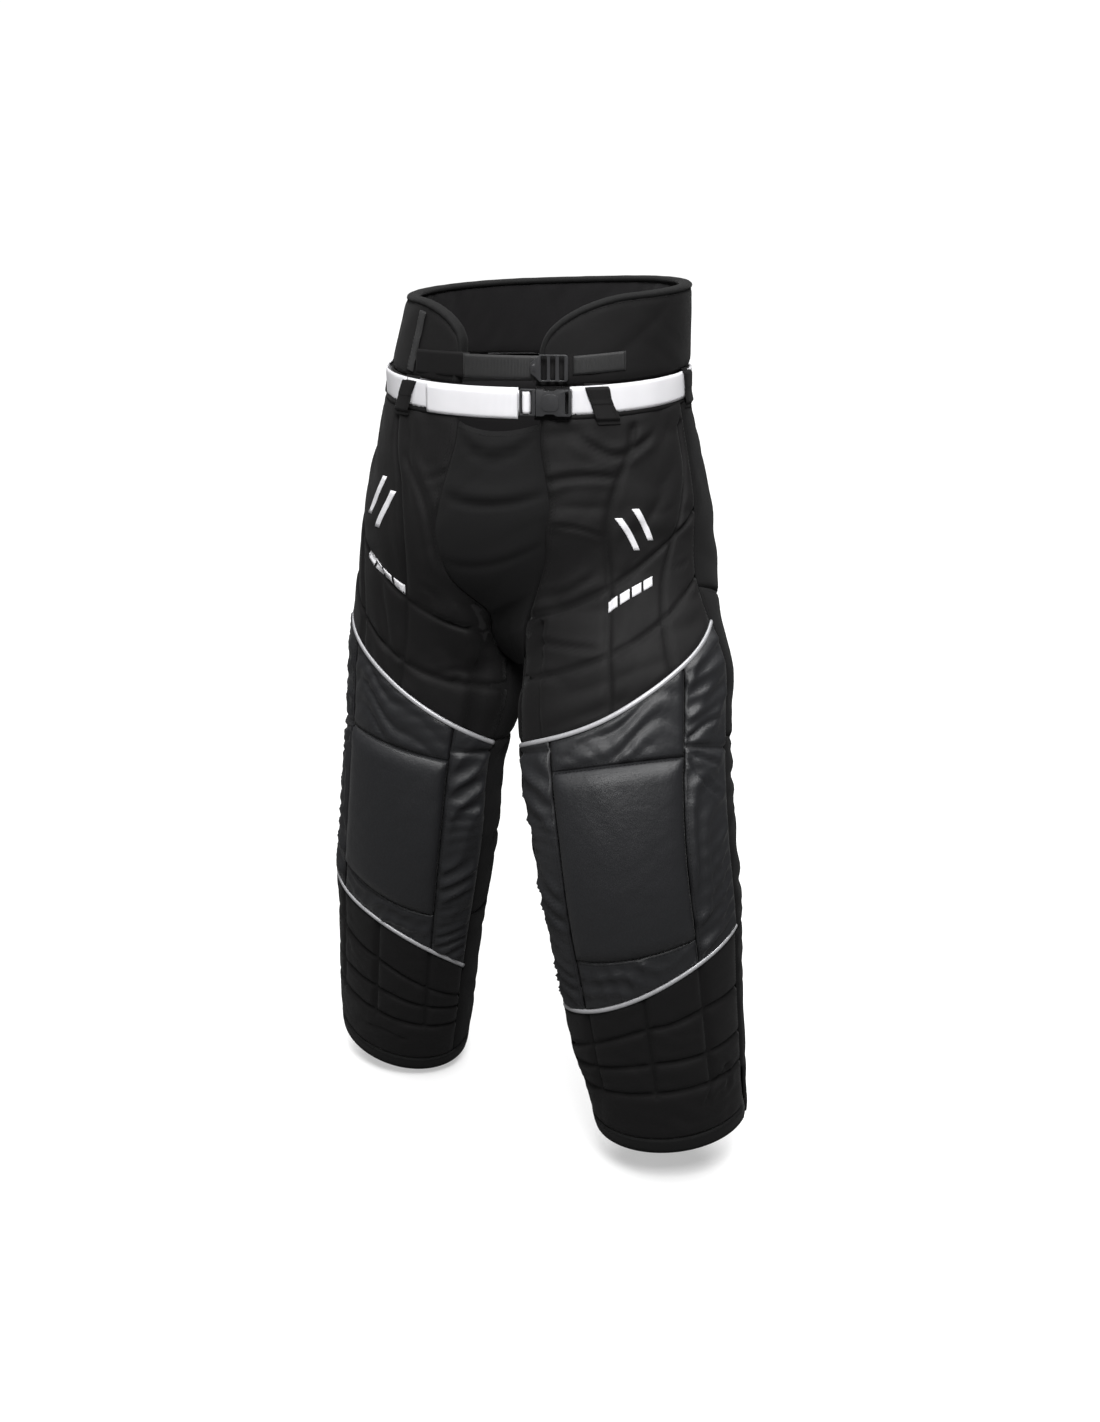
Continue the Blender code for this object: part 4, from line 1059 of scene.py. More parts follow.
def crotch_patch(word, side):
    """The patch behind the corner where a leg's front, its back and the gusset are sewn together."""
    s, turn = np.meshgrid(np.linspace(0.262, 0.352, 37), np.linspace(-10, 10, 17), indexing="ij")
    grid = LEGS[side].point(INNER_SEAM + 360 + turn, s, -CLOTH - 0.0012)
    seam_tape(f"{word}_crotch_patch", grid, [f"{word}_leg_lining"], knee_follow(side))


def declare_sheet(grid, rests_on):
    """Measures the lengths of a sheet's grid lines across and down; nothing is kept of them."""
    across = np.linalg.norm(np.diff(grid, axis=1), axis=-1)
    down = np.linalg.norm(np.diff(grid, axis=0), axis=-1)
    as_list(rests_on)


def foam_pad(name, place, shape, uv, follow):
    """A lined foam pad between two depths, its edges rounded off all round."""
    u, v, depth = shape
    outer_offset, inner_offset = depth
    flat = place(u, v, 0.0)
    full = 0.25 + 0.75 * np.sqrt(np.clip(distance_to(flat, rim_of(u.shape)) / 0.012, 0, 1))
    middle = (outer_offset + inner_offset) / 2
    half = (outer_offset - inner_offset) / 2 * full
    made = closed_sheet(f"{name}_core", place(u, v, middle + half), place(u, v, middle - half), uv, "foam")
    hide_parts(name)
    follow(made)


def leg_foams(word, side):
    """The foams inside one leg, each between two angles and two distances down the leg."""
    def foam(name, edges, ends):
        phi, s, _, _ = lattice(edges, ends, (), (), 0.009)
        uv = np.stack([np.radians(phi) * 0.1, s], -1)
        foam_pad(f"{word}_{name}", LEGS[side].point, (phi, s, FOAM_DEPTH), uv, knee_follow(side))

    inner_edge = front_inner_edge(side)
    foam("thigh_foam", (lambda s: np.maximum(inner_edge(s) + 11, -62), OUTER_SEAM - 12),
         (0.085, inset(upper_piping(side), -0.026)))
    foam("hip_pad", (OUTER_SEAM + 8, OUTER_SEAM + 62), (0.07, 0.215))
    foam("knee_pad_foam", (PAD_INNER + 4, PAD_OUTER - 4), pad_ends(side, 0.01))
    foam("shin_foam", (INNER_SEAM + 18, OUTER_SEAM - 14),
         (inset(lower_piping(side), 0.022), HEM_S - HEM_BAND - 0.015))


# ---- the crotch gusset ---------------------------------------------------------------------------
def gusset_point(u, v, offset=0.0):
    """Across the gusset: u runs from the right leg's seam to the left's, v from the front to the back."""
    u, v, offset = np.broadcast_arrays(np.asarray(u, float), np.asarray(v, float), np.asarray(offset, float))

    def across(v):
        left, right = (LEGS[side].point(*gusset_seam(side, v)) for side in (LEFT, RIGHT))
        s = gusset_seam(LEFT, v)[1]
        width = np.linalg.norm(left - right, axis=-1)
        bulge = 0.16 * width * (1 - smooth((s - 0.20) / 0.08))
        point = right + (left - right) * u[..., None]
        point[..., 1] += np.where(v < 0.6, -1, 1) * bulge * 4 * np.clip(u * (1 - u), 0, 1)
        return point
    run = across(np.minimum(v + 0.02, 1)) - across(np.maximum(v - 0.02, 0))
    run[..., 0] = 0
    run /= np.linalg.norm(run, axis=-1, keepdims=True)
    off = np.stack([np.zeros(u.shape), run[..., 2], -run[..., 1]], -1)
    point = across(v) + off * offset[..., None]
    point[..., 2] -= GUSSET_NOTCH * 4 * np.clip(u * (1 - u), 0, 1) * (1 - smooth(v / 0.12))
    return point


GUSSET_TUCK = 0.05       # share of its width by which the gusset runs on under the leg covers
GUSSET_NOTCH = 0.0075    # how far its top edge sags
GUSSET_SAGS = ((0.029, -0.020, 0.0046), (0.080, -0.008, 0.0046), (0.150, -0.012, 0.0018))


def gusset_panel():
    """The knitted gusset, with shallow sags across its front; each is (distance down, droop, depth)."""
    v, u = np.meshgrid(np.linspace(0, 1, 150), np.linspace(-GUSSET_TUCK, 1 + GUSSET_TUCK, 38), indexing="ij")
    flat = gusset_point(u, v)
    pins = rim_of(u.shape)
    outward = gusset_point(u, v, 0.001) - flat
    sign = 1.0 if (outward[..., 1] * np.where(v < 0.5, -1, 1)).mean() > 0 else -1.0
    down = np.concatenate([[0], np.cumsum(np.linalg.norm(np.diff(flat[:, 17], axis=0), axis=-1))])
    uv = np.stack([(u - 0.5) * 0.13, np.repeat(down[:, None], u.shape[1], 1)], -1)
    relief = -SEAM_DEPTH * np.exp(-(distance_to(flat, pins) / SEAM_WIDTH) ** 2)
    relief -= 0.0030 * smooth((np.abs(u - 0.5) - 0.5) / GUSSET_TUCK + 0.3)
    for at, droop, depth in GUSSET_SAGS:
        below = uv[..., 1] - at - droop * (2 * u - 1) ** 2
        fold = 0.6 * np.exp(-((below + 0.011) / 0.008) ** 2) - np.exp(-(below / 0.0042) ** 2)
        relief += depth * fold * np.sqrt(np.sin(pi * np.clip(u, 0, 1)))
    return Panel("crotch_gusset_cloth", lambda offset: gusset_point(u, v, sign * offset), relief, uv,
                 "stretch", pins, ["crotch_gusset"], body_follow, swell=0.5, slack=0.02, hold=0.10,
                 folds=((3, 0.070, 0.0008),))


# ---- waist ---------------------------------------------------------------------------------------


COLLAR_OVER_BELT = 0.0155


def collar_angle(u, margin=0.0):
    """Round the collar from the left wing's edge over the back to the right wing's, finer at the wings."""
    start, end = WING_EDGE[LEFT] + margin, 360 - WING_EDGE[RIGHT] - margin
    eased = 0.5 - 0.5 * np.cos(pi * np.asarray(u, float))
    return start + (end - start) * (0.35 * u + 0.65 * eased)


def collar_grid(low_gap, high_gap, columns, rows, margin=0.0):
    """Angles and heights of a grid over the collar, short of its edges by the gaps and the margin."""
    v, u = np.meshgrid(np.linspace(0, 1, rows), np.linspace(0, 1, columns), indexing="ij")
    angle = collar_angle(u, margin)
    low = belt_height(signed(angle)) + COLLAR_OVER_BELT + low_gap
    high = collar_top(signed(angle)) - high_gap
    return angle, low + (high - low) * v


def waist_uv(angle, z):
    return np.stack([np.radians(angle) * 0.155, z], -1)


def collar_shell(name, node, slot, offset, outward, folds, **more):
    """One side of the collar; outward is 1 for the outer shell and -1 for the lining."""
    angle, z = collar_grid(0.0, 0.004, 260, 26)
    pins = rim_of(angle.shape)
    sunk = 0.0022 * np.exp(-(distance_to(waist_point(angle, z), pins) / 0.005) ** 2)
    return Panel(name, lambda by: waist_point(angle, z, offset + outward * by), -sunk, waist_uv(angle, z),
                 slot, pins, [node], body_follow, folds=folds, **more)


def collar_binding():
    """The rolled edge: up the left wing, round the top and down the right wing."""
    angle = collar_angle(np.linspace(0, 1, 260))
    high = collar_top(signed(angle)) - 0.0035
    low = belt_height(signed(angle[[0, -1]])) + COLLAR_OVER_BELT
    up = np.linspace(low[0], high[0], 14)[:-1]
    down = np.linspace(high[-1], low[1], 14)[1:]
    angle = np.concatenate([np.full(13, angle[0]), angle, np.full(13, angle[-1])])
    z = np.concatenate([up, high, down])
    path = waist_point(angle, z, -0.0068)
    for _ in range(2):
        path[1:-1] = (path[:-2] + 2 * path[1:-1] + path[2:]) / 4
    outward = waist_point(angle, z, 0.001) - waist_point(angle, z)
    swell = 1 + 0.03 * np.sin(np.arange(len(path)) * 0.9) * np.sin(np.arange(len(path)) * 0.23)
    (points, faces), uvs = tube(path, outward, 0.0082 * swell, 0.0148 * swell, sides=16)
    made = add_object("collar_rolled_edge", points, faces, uvs, "binding")
    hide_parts("collar_binding")
    body_follow(made)


def collar_core():
    """The foam between the collar's shell and its lining."""
    angle, z = collar_grid(0.004, 0.009, 120, 12, 2.5)
    foam_pad("collar_foam", waist_point, (angle, z, COLLAR_FOAM_DEPTH), waist_uv(angle, z), body_follow)


def ribbon(name, centre, across, outward, wide, thick, slot, replaces=(), follow=body_follow):
    """A flat woven strap along centre: across and outward give its width and its upper side."""
    centre, across, outward = (np.asarray(value, float) for value in (centre, across, outward))
    across = across / np.linalg.norm(across, axis=-1, keepdims=True)
    outward = outward / np.linalg.norm(outward, axis=-1, keepdims=True)
    u = np.linspace(-1, 1, 9)
    places = np.tile(u * wide / 2, (len(centre), 1))
    grid = centre[:, None] + across[:, None] * places[..., None]
    lift = thick / 2 * np.sqrt(1 - 0.75 * np.abs(u) ** 6)
    upper, lower = (grid + face * outward[:, None] * lift[None, :, None] for face in (1, -1))
    length = np.concatenate([[0], np.cumsum(np.linalg.norm(np.diff(centre, axis=0), axis=1))])
    uv = np.stack([np.repeat(length[:, None], len(u), 1), places], -1)
    made = closed_sheet(name, upper, lower, uv, slot)
    mark_seams(made, np.tile(np.abs(u) > 0.93, len(centre)))
    if replaces:
        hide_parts(*replaces)
    follow(made)


def waist_ribbon(name, start, end, height, offset, wide, thick, slot, replaces=(), follow=body_follow):
    """A strap round the waist between two angles; height and offset are functions of the angle."""
    angle = np.linspace(start, end, int(abs(end - start)) + 1)
    ripple = 0.0003 * np.sin(angle * 0.35) * np.sin(angle * 0.11 + 1)
    z = height(signed(angle))
    centre = waist_point(angle, z, offset(angle) + thick / 2 + ripple)
    outward = waist_point(angle, z, 0.001) - waist_point(angle, z)
    up = np.tile([0.0, 0.0, 1.0], (len(angle), 1))
    ribbon(name, centre, up, outward, wide, thick, slot, replaces, follow)


def buckle_follow(made):
    """Bakes the belt's front run in its place."""
    start, end = waist_point(-14.0, 0.0), waist_point(2.0, 0.0)
    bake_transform(made)


def strap_follow(made):
    """Bakes the collar's strap in its place."""
    start, end = waist_point(-6.0, STRAP_Z), waist_point(11.0, STRAP_Z)
    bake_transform(made)


def belt():
    """The belt's back run, its front run and the tail folded back over it."""
    for name, start, end, height, offset, node, follow in (
            ("belt_back_webbing", 24.5, 317, belt_height, 0.0006, "belt_back_run", body_follow),
            ("belt_front_webbing", -42.4, 6.4, belt_height, 0.0006, "belt_front_run", buckle_follow),
            ("belt_tail_webbing", -30, 6.4, inset(belt_height, -0.003), 0.0029, "belt_tail", buckle_follow)):
        waist_ribbon(name, start, end, height, steady(offset), BELT, WEBBING, "white_webbing", [node], follow)


# word, angle, half width and lean in degrees
LOOPS = (("left_front", 36.2, 4.4, 5.4), ("left_side", 86.0, 5.5, 3.0), ("left_back", 142.0, 5.0, 3.0),
         ("right_front", -43.2, 4.6, -4.0), ("right_side", -88.0, 5.0, -3.0),
         ("right_back", -142.0, 5.0, -3.0))


def belt_loops():
    """Folded tapes over the belt, sewn down flat at both ends with a bar of stitches."""
    for word, angle, half, lean in LOOPS:
        v, u = np.meshgrid(np.linspace(0, 1, 56), np.linspace(-1, 1, 17), indexing="ij")
        lift = 0.0034 * smooth(np.minimum(v - 0.04, 0.98 - v) / 0.13)
        place = angle + u * half * (1 + 0.04 * np.sin(v * 9)) + lean * (0.5 - v)
        z = float(belt_height(angle)) - 0.0268 + 0.0436 * v
        start = np.where(v > 0.5, 0.0008, 0.0003)
        topstitch = -0.0004 * np.exp(-((np.abs(u) - 0.78) / 0.06) ** 2)
        tacked = -0.0006 * (np.exp(-((v - 0.085) / 0.018) ** 2) + np.exp(-((v - 0.93) / 0.018) ** 2))
        outer = waist_point(place, z, start + lift + 0.0011 + topstitch + tacked - 0.0006 * np.abs(u) ** 8)
        inner = waist_point(place, z, start + lift)
        made = closed_sheet(f"{word}_loop_tape", outer, inner, np.stack([u * 0.012, z], -1), "microfibre")
        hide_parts(f"{word}_belt_loop")
        body_follow(made)
        outward = waist_point(place, z, 0.01) - waist_point(place, z, 0.0)
        rows = [(outer[row, 2:-2], outward[row, 2:-2]) for row in (4, 5, 52)]
        columns = [(outer[2:-2, column], outward[2:-2, column]) for column in (2, 14)]
        stitches(f"{word}_loop_stitching", rows + columns, body_follow, length=0.0022, gap=0.0007,
                 thick=0.0006)


def waistband():
    """The slightly gathered band behind the belt."""
    v, u = np.meshgrid(np.linspace(0, 1, 14), np.linspace(0, 1, 300), indexing="ij")
    angle = 12 + 334 * u
    z = belt_height(signed(angle)) - 0.0195 + 0.0340 * v
    gather = 0.0005 * np.sin(angle * 2.4 + np.sin(angle * 0.5)) * np.sin(pi * v)
    crown = 0.0004 * np.sin(pi * v)
    made = closed_sheet("waistband_cloth", waist_point(angle, z, -0.0006 + gather + crown),
                        waist_point(angle, z, -0.0021), waist_uv(angle, z), "microfibre")
    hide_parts("waistband")
    body_follow(made)
    declare_sheet(waist_point(angle, z, -0.0006), rests_on=["waistband"])


def strap():
    """The collar's strap, the base it is sewn to, the lock's anchor, and the tape on the right wing."""
    waist_ribbon("collar_strap_webbing", -15.8, 13.0, steady(STRAP_Z), steady(0.0031), STRAP, WEBBING,
                 "black_webbing", ["collar_strap"], strap_follow)
    waist_ribbon("collar_strap_anchor", -41, -14, steady(STRAP_Z + 0.0006), steady(0.0006), STRAP + 0.0012,
                 0.0017, "microfibre", ["collar_strap_base"])
    waist_ribbon("lock_anchor_tape", 24.5, 45, lambda angle: STRAP_Z + 0.002 + 0.00022 * (angle - 24),
                 steady(0.0006), 0.020, WEBBING, "black_webbing", ["lock_anchor_webbing"])
    z = np.linspace(0.0225, 0.0865, 40)
    angle = np.linspace(-44.4, -44.0, 40)
    centre = waist_point(angle, z, 0.0011 + 0.0003 * np.sin(z * 260))
    outward = waist_point(angle, z, 0.002) - centre
    ribbon("wing_tape", centre, np.cross(np.gradient(centre, axis=0), outward), outward, 0.0150, 0.0014,
           "black_webbing", ["collar_wing_tape"])
    edges = [(waist_point(at, z[1:-1], 0.0020), waist_point(at, z[1:-1], 1.0)) for at in (-46.0, -42.4)]
    stitches("wing_tape_stitching", edges, body_follow)


# ---- stitching and marks -------------------------------------------------------------------------
STITCH_LIFT = 0.00020
# rows of stitches beside a cover's edges: (cover, ((edge, distance in), ...))
FRONT_STITCHES = (("thigh", (("low", 0.004), ("low", 0.0075), ("high", 0.0045), ("bottom", 0.0065))),
                  ("shin", (("top", 0.0065), ("high", 0.0045))),
                  ("pad", (("low", 0.0030), ("high", 0.0030), ("top", 0.0028), ("bottom", 0.0028))),
                  ("upper_gusset", (("top", 0.0060), ("bottom", 0.0040))),
                  ("lower_gusset", (("top", 0.0040), ("bottom", 0.0060))),
                  ("inner_bolster", (("high", 0.0035),)),
                  ("outer_bolster", (("low", 0.0035),)))
BACK_STITCHES = (("seat", (("low", 0.0045), ("bottom", 0.0040), ("high", 0.004))),
                 ("back", (("low", 0.0045), ("top", 0.0040))),
                 ("knee_back", (("top", 0.0045), ("bottom", 0.0045))),
                 ("calf", (("low", 0.0045), ("top", 0.0045), ("bottom", 0.003))),
                 ("hem", (("top", 0.0030),)))
GUSSET_STITCHES = (("low", 0.004), ("high", 0.004), ("top", 0.006))
COLLAR_STITCHES = (("top", 0.004), ("bottom", 0.004))


def stitches(name, runs, follow, length=0.0032, gap=0.0012, thick=0.00055):
    """Rows of thread along runs of (points, outward): a small closed lozenge for each stitch."""
    points, faces, uvs = [], [], []
    for path, outward in runs:
        at = np.concatenate([[0], np.cumsum(np.linalg.norm(np.diff(path, axis=0), axis=1))])
        for start in np.arange(0.001, at[-1] - length, length + gap):
            first, last = (np.array([np.interp(x, at, path[:, k]) for k in range(3)])
                           for x in (start, start + length))
            out = np.array([np.interp(start + length / 2, at, outward[:, k]) for k in range(3)])
            out /= np.linalg.norm(out)
            along = last - first
            across = np.cross(along, out)
            across *= thick / 2 / max(np.linalg.norm(across), 1e-9)
            rise = out * thick / 2
            a, b, *rest = range(len(points), len(points) + 10)
            points += [first - out * thick * 0.4, last - out * thick * 0.4]
            for place in (0.25, 0.75):
                core = first + along * place + out * STITCH_LIFT
                points += [core + across, core + rise, core - across, core - rise]
            ring, other = rest[:4], rest[4:]
            for k in range(4):
                n = (k + 1) % 4
                faces += [(a, ring[n], ring[k]), (ring[k], ring[n], other[n], other[k]),
                          (b, other[k], other[n])]
            uvs += [(x, 0.0) for x in (0, length)]
            uvs += [(length * part, 0.0003 * k) for part in (0.25, 0.75) for k in range(4)]
    if not points:
        return
    points = np.array(points)
    if facing_out(points[:10], faces[:12])[1][0] != faces[0]:
        faces = [face[::-1] for face in faces]
    follow(add_object(name, points, faces, uvs, "binding"))


def seam_runs(panel, rims=()):
    """The runs of a panel's quilting lines, and of lines beside its edges: (edge, distance in)."""
    shape, normal = panel.shape, panel.normal
    runs = []
    for kind, index, on in panel.seams:
        path, out = (grid[index] if kind == "row" else grid[:, index] for grid in (shape, normal))
        ends = np.flatnonzero(np.diff(np.concatenate([[0], on.astype(int), [0]])))
        for first, last in zip(ends[::2], ends[1::2]):
            if last - first > 2:
                runs.append((path[first:last], out[first:last]))
    for edge, by in rims:
        grid, out = shape, normal
        if edge in ("low", "high"):
            grid, out = grid.transpose(1, 0, 2), out.transpose(1, 0, 2)
        if edge in ("bottom", "high"):
            grid, out = grid[::-1], out[::-1]
        steps = np.concatenate([np.zeros((1, grid.shape[1])),
                                np.cumsum(np.linalg.norm(np.diff(grid, axis=0), axis=-1), 0)])
        path = np.array([[np.interp(by, steps[:, j], grid[:, j, k]) for k in range(3)]
                         for j in range(grid.shape[1])])
        runs.append((path[1:-1], out[1, 1:-1]))
    return runs


def leg_stitches(word, side, panels):
    """The thread on the front and on the back of one leg."""
    for place, rows in (("front", FRONT_STITCHES), ("back", BACK_STITCHES)):
        runs = [run for name, rims in rows for run in seam_runs(panels[name], rims)]
        stitches(f"{word}_{place}_stitching", runs, knee_follow(side))


# the plain marks printed on each thigh, as (corners, divisions): two leaning bars over a broken stripe
MARK_LEANING = tuple((((phi, s), (phi + 5, s), (phi + 16, s + 0.050), (phi + 11, s + 0.050)), (4, 10))
                     for phi, s in ((4, 0.142), (16, 0.128)))
MARK_STRIPE = tuple((((phi, s), (phi + 8.6, s - 0.0064), (phi + 7.8, s + 0.0056), (phi - 0.8, s + 0.012)),
                     (5, 4))
                    for phi, s in ((-11, 0.2560), (-0.2, 0.2480), (10.6, 0.2400), (21.4, 0.2320)))
MARK_SHIFT = {LEFT: (0, 0), RIGHT: (4, -0.031)}
MARK_RISE, MARK_SUNK = 0.00035, -0.0006


def printed_mark(name, panel, side):
    """Flat printed shapes laid on a thigh cover; each is an outline of (phi, s) corners, filled in."""
    shape = panel.shape
    quads = quads_of(np.arange(shape[..., 0].size).reshape(shape.shape[:2]))
    tree = BVHTree.FromPolygons(shape.reshape(-1, 3).tolist(), quads.tolist())

    def on_cover(phi, s):
        """The point of the cover at (phi, s), and the direction off it."""
        far, near = (LEGS[side].point(phi, s, offset) for offset in (0.04, -0.04))
        hit = tree.ray_cast(Vector(far), Vector(near - far).normalized())[0]
        at = LEGS[side].point(phi, s) if hit is None else np.array(hit)
        return at, (far - near) / np.linalg.norm(far - near)

    points, faces, uvs = [], [], []
    for corners, (across, down) in MARK_LEANING + MARK_STRIPE:
        base, count = len(points), (across + 1) * (down + 1)
        a, b, c, d = np.array(corners, float) + MARK_SHIFT[side]
        places = [(a * (1 - u) + b * u) * (1 - v) + (d * (1 - u) + c * u) * v
                  for v in np.arange(down + 1) / down for u in np.arange(across + 1) / across]
        layer = [on_cover(phi, s) for phi, s in places]
        points += [at + out * lift for lift in (MARK_RISE, MARK_SUNK) for at, out in layer]
        uvs += 2 * [(radians(phi) * LEG_RADIUS, s) for phi, s in places]
        index = np.arange(count).reshape(down + 1, across + 1) + base
        for quad in quads_of(index).tolist():
            faces += [tuple(quad), tuple(k + count for k in quad[::-1])]
        rim = np.concatenate([index[0, :-1], index[:-1, -1], index[-1, :0:-1], index[:0:-1, 0]]).tolist()
        faces += [(first, first + count, second + count, second)
                  for first, second in zip(rim, rim[1:] + rim[:1])]
        if base == 0:
            box_points, box_faces = len(points), len(faces)
    points = np.array(points)
    if facing_out(points[:box_points], faces[:box_faces])[1][0] != faces[0]:
        faces = [face[::-1] for face in faces]
    knee_follow(side)(add_object(name, points, faces, uvs, "white_webbing"))


# ---- buckles -------------------------------------------------------------------------------------
def tangent_frame(angle, z, offset):
    """A frame on the waist: X along the waist to the wearer's left, Y outwards, Z up."""
    along = waist_point(angle + 1, z, offset) - waist_point(angle - 1, z, offset)
    along[2] = 0
    along /= np.linalg.norm(along)
    out = np.array((along[1], -along[0], 0))
    turn = Matrix((along, out, (0, 0, 1))).transposed().to_4x4()
    return Matrix.Translation(Vector(waist_point(angle, z, offset))) @ turn


def prism(name, corners, bottom, top):
    """An outline in X and Z given a thickness in Y."""
    mesh = bmesh.new()
    lower = [mesh.verts.new((x, bottom, z)) for x, z in corners]
    upper = [mesh.verts.new((x, top, z)) for x, z in corners]
    mesh.faces.new(lower)
    mesh.faces.new(upper[::-1])
    for k in range(len(corners)):
        n = (k + 1) % len(corners)
        mesh.faces.new((lower[k], upper[k], upper[n], lower[n]))
    bmesh.ops.recalc_face_normals(mesh, faces=mesh.faces)
    data = bpy.data.meshes.new(name)
    mesh.to_mesh(data)
    mesh.free()
    return link(name, data)


def moulding(name, place, outline, low, high, holes, adds, replaces, body, edge):
    """A moulded piece: a prism with blocks added and holes cut, each (corners, low, high), then eased."""
    made = prism(name, outline, low, high)
    tools = []
    for operation, shapes in (("UNION", adds), ("DIFFERENCE", holes)):
        for shape in shapes:
            tools.append(prism(name, *shape))
            step = made.modifiers.new("step", "BOOLEAN")
            step.operation = operation
            step.object = tools[-1]
            step.solver = "EXACT"
    ease = made.modifiers.new("ease", "BEVEL")
    ease.width = edge
    ease.segments = 3
    ease.limit_method = "ANGLE"
    ease.angle_limit = radians(32)
    ease.use_clamp_overlap = True
    graph = bpy.context.evaluated_depsgraph_get()
    solid = bpy.data.meshes.new_from_object(made.evaluated_get(graph))
    for thing in (made, *tools):
        bpy.data.objects.remove(thing, do_unlink=True)
    solid.transform(place)
    solid.name = name
    solid.materials.clear()
    solid.materials.append(MATERIALS["buckle_plastic"])
    solid.shade_smooth()
    solid.set_sharp_from_angle(angle=radians(38))
    piece = link(name, solid)
    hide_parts(replaces)
    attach(piece, body)


def rounded(x0, z0, x1, z1, radius, steps=4):
    """The corners of a rectangle with rounded corners, in order."""
    corners = []
    for cx, cz, start in ((x1 - radius, z1 - radius, 0), (x0 + radius, z1 - radius, 90),
                          (x0 + radius, z0 + radius, 180), (x1 - radius, z0 + radius, 270)):
        for k in range(steps + 1):
            turn = radians(start + 90 * k / steps)
            corners.append((cx + radius * cos(turn), cz + radius * sin(turn)))
    return corners


BUCKLE_ANGLE, LOCK_ANGLE = 13.0, 17.0


def buckle():
    """The side-release buckle: X runs along the belt from the socket's mouth, Y outwards and Z up."""
    place = tangent_frame(BUCKLE_ANGLE, float(belt_height(BUCKLE_ANGLE)), 0.0023)
    half, deep, length, wall = 0.0140, 0.0110, 0.038, 0.0018
    waisted = [(0.0, -half), (0.0075, -half), (0.0105, -half + 0.0022), (0.0185, -half + 0.0022),
               (0.0225, -half), (length - 0.0015, -half), (length, -half + 0.0015)]
    hollow = rounded(-0.001, -half + 0.004, length - 0.0125, half - 0.004, 0.001, 2)
    windows = [rounded(0.0115, low, 0.0195, high, 0.0012, 2)
               for low, high in ((-half - 0.004, -half + 0.0065), (half - 0.0065, half + 0.004))]
    belt_slot = rounded(length - 0.0068, -half + 0.0020, length - 0.0030, half - 0.0020, 0.0008, 2)
    moulding("buckle_socket_moulding", place, waisted + [(x, -z) for x, z in reversed(waisted)], 0.0, deep,
             [*((shape, wall, deep - wall) for shape in (hollow, *windows)),
              (belt_slot, -0.001, deep + 0.001)],
             [(rounded(0.006, -0.0088, 0.0245, 0.0088, 0.0060, 5), deep - 0.0005, deep + 0.0009)],
             "buckle_socket", "pants_body", 0.0007)
    low, high = wall + 0.0005, deep - wall - 0.0005
    prong = half - 0.0060
    hook = [(-0.002, prong), (-0.002, prong - 0.0035), (0.022, prong - 0.0035), (0.022, prong - 0.0020),
            (0.0185, prong + 0.0010), (0.0135, prong + 0.0015), (0.012, prong)]
    lower_hook = [(x, -z) for x, z in hook]
    bar_slots = [rounded(start, -half + 0.0020, end, half - 0.0020, 0.0008, 2)
                 for start, end in ((-0.0162, -0.0125), (-0.0095, -0.0048))]
    moulding("buckle_prong_moulding", place, rounded(-0.018, -half, -0.0008, half, 0.0016, 3),
             0.0012, deep - 0.0012, [(shape, 0, deep) for shape in bar_slots],
             [(lower_hook[:1] + lower_hook[:0:-1], low, high), (hook, low, high),
              (rounded(-0.002, -0.0016, 0.018, 0.0016, 0.0007, 2), low, high)],
             "buckle_prongs", "buckle_tongue", 0.0004)
    belt_turn(place)


def belt_turn(place):
    """The belt where it is threaded round the buckle's adjuster bar."""
    threaded = ((-0.0240, -0.0006), (-0.0195, -0.0008), (-0.0165, -0.0002), (-0.0146, 0.0040),
                (-0.0141, 0.0090), (-0.0130, 0.0106), (-0.0110, 0.0111), (-0.0088, 0.0106),
                (-0.0074, 0.0090), (-0.0068, 0.0040), (-0.0075, 0.0000), (-0.0100, -0.0004),
                (-0.0130, -0.0001))
    path = curve_through(threaded, 60)
    centre = np.array([place @ Vector((x, y, 0)) for x, y in path])
    outward = np.array([place.to_3x3() @ Vector((-y, x, 0)) for x, y in np.gradient(path, axis=0)])
    up = np.tile([0.0, 0.0, 1.0], (len(centre), 1))
    ribbon("belt_adjuster_turn", centre, up, outward, 0.0232, 0.0014, "white_webbing",
           follow=lambda made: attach(made, "buckle_tongue"))


def lock():
    """The ladder lock of the collar strap: three slots, and a narrow lip to lift it by."""
    half_x, half_z, deep = 0.0170, 0.0140, 0.0038
    right = [corner for corner in rounded(-half_x, -half_z, half_x, half_z, 0.0030, 4) if corner[0] > 0]
    lip = [(-half_x + 0.0035, -half_z), (-half_x, -half_z + 0.0040), (-half_x - 0.0060, -0.0050)]
    outline = ([corner for corner in right if corner[1] > 0] + [(x, -z) for x, z in lip] + lip[::-1]
               + [corner for corner in right if corner[1] < 0])
    slot_z = half_z - 0.0013
    slots = [rounded(start, -slot_z, end, slot_z, 0.0010, 2)
             for start, end in ((-half_x + 0.0050, -half_x + 0.0115), (-half_x + 0.0150, -half_x + 0.0205),
                                (half_x - 0.0095, half_x - 0.0040))]
    ridge = rounded(-half_x - 0.0045, -0.0035, -half_x - 0.0010, 0.0035, 0.0010, 2)
    moulding("ladder_lock_moulding", tangent_frame(LOCK_ANGLE, STRAP_Z, 0.0060), outline, 0.0, deep,
             [(slot, -0.001, deep + 0.001) for slot in slots], [(ridge, deep - 0.0005, deep + 0.0007)],
             "ladder_lock", "strap_lock", 0.0007)


# ---- the picture ---------------------------------------------------------------------------------
CAMERA = {"azimuth": 16.76, "elevation": 17.38, "distance": 1.98, "lens": 41.12, "across": 0.0154,
          "height": -0.391}


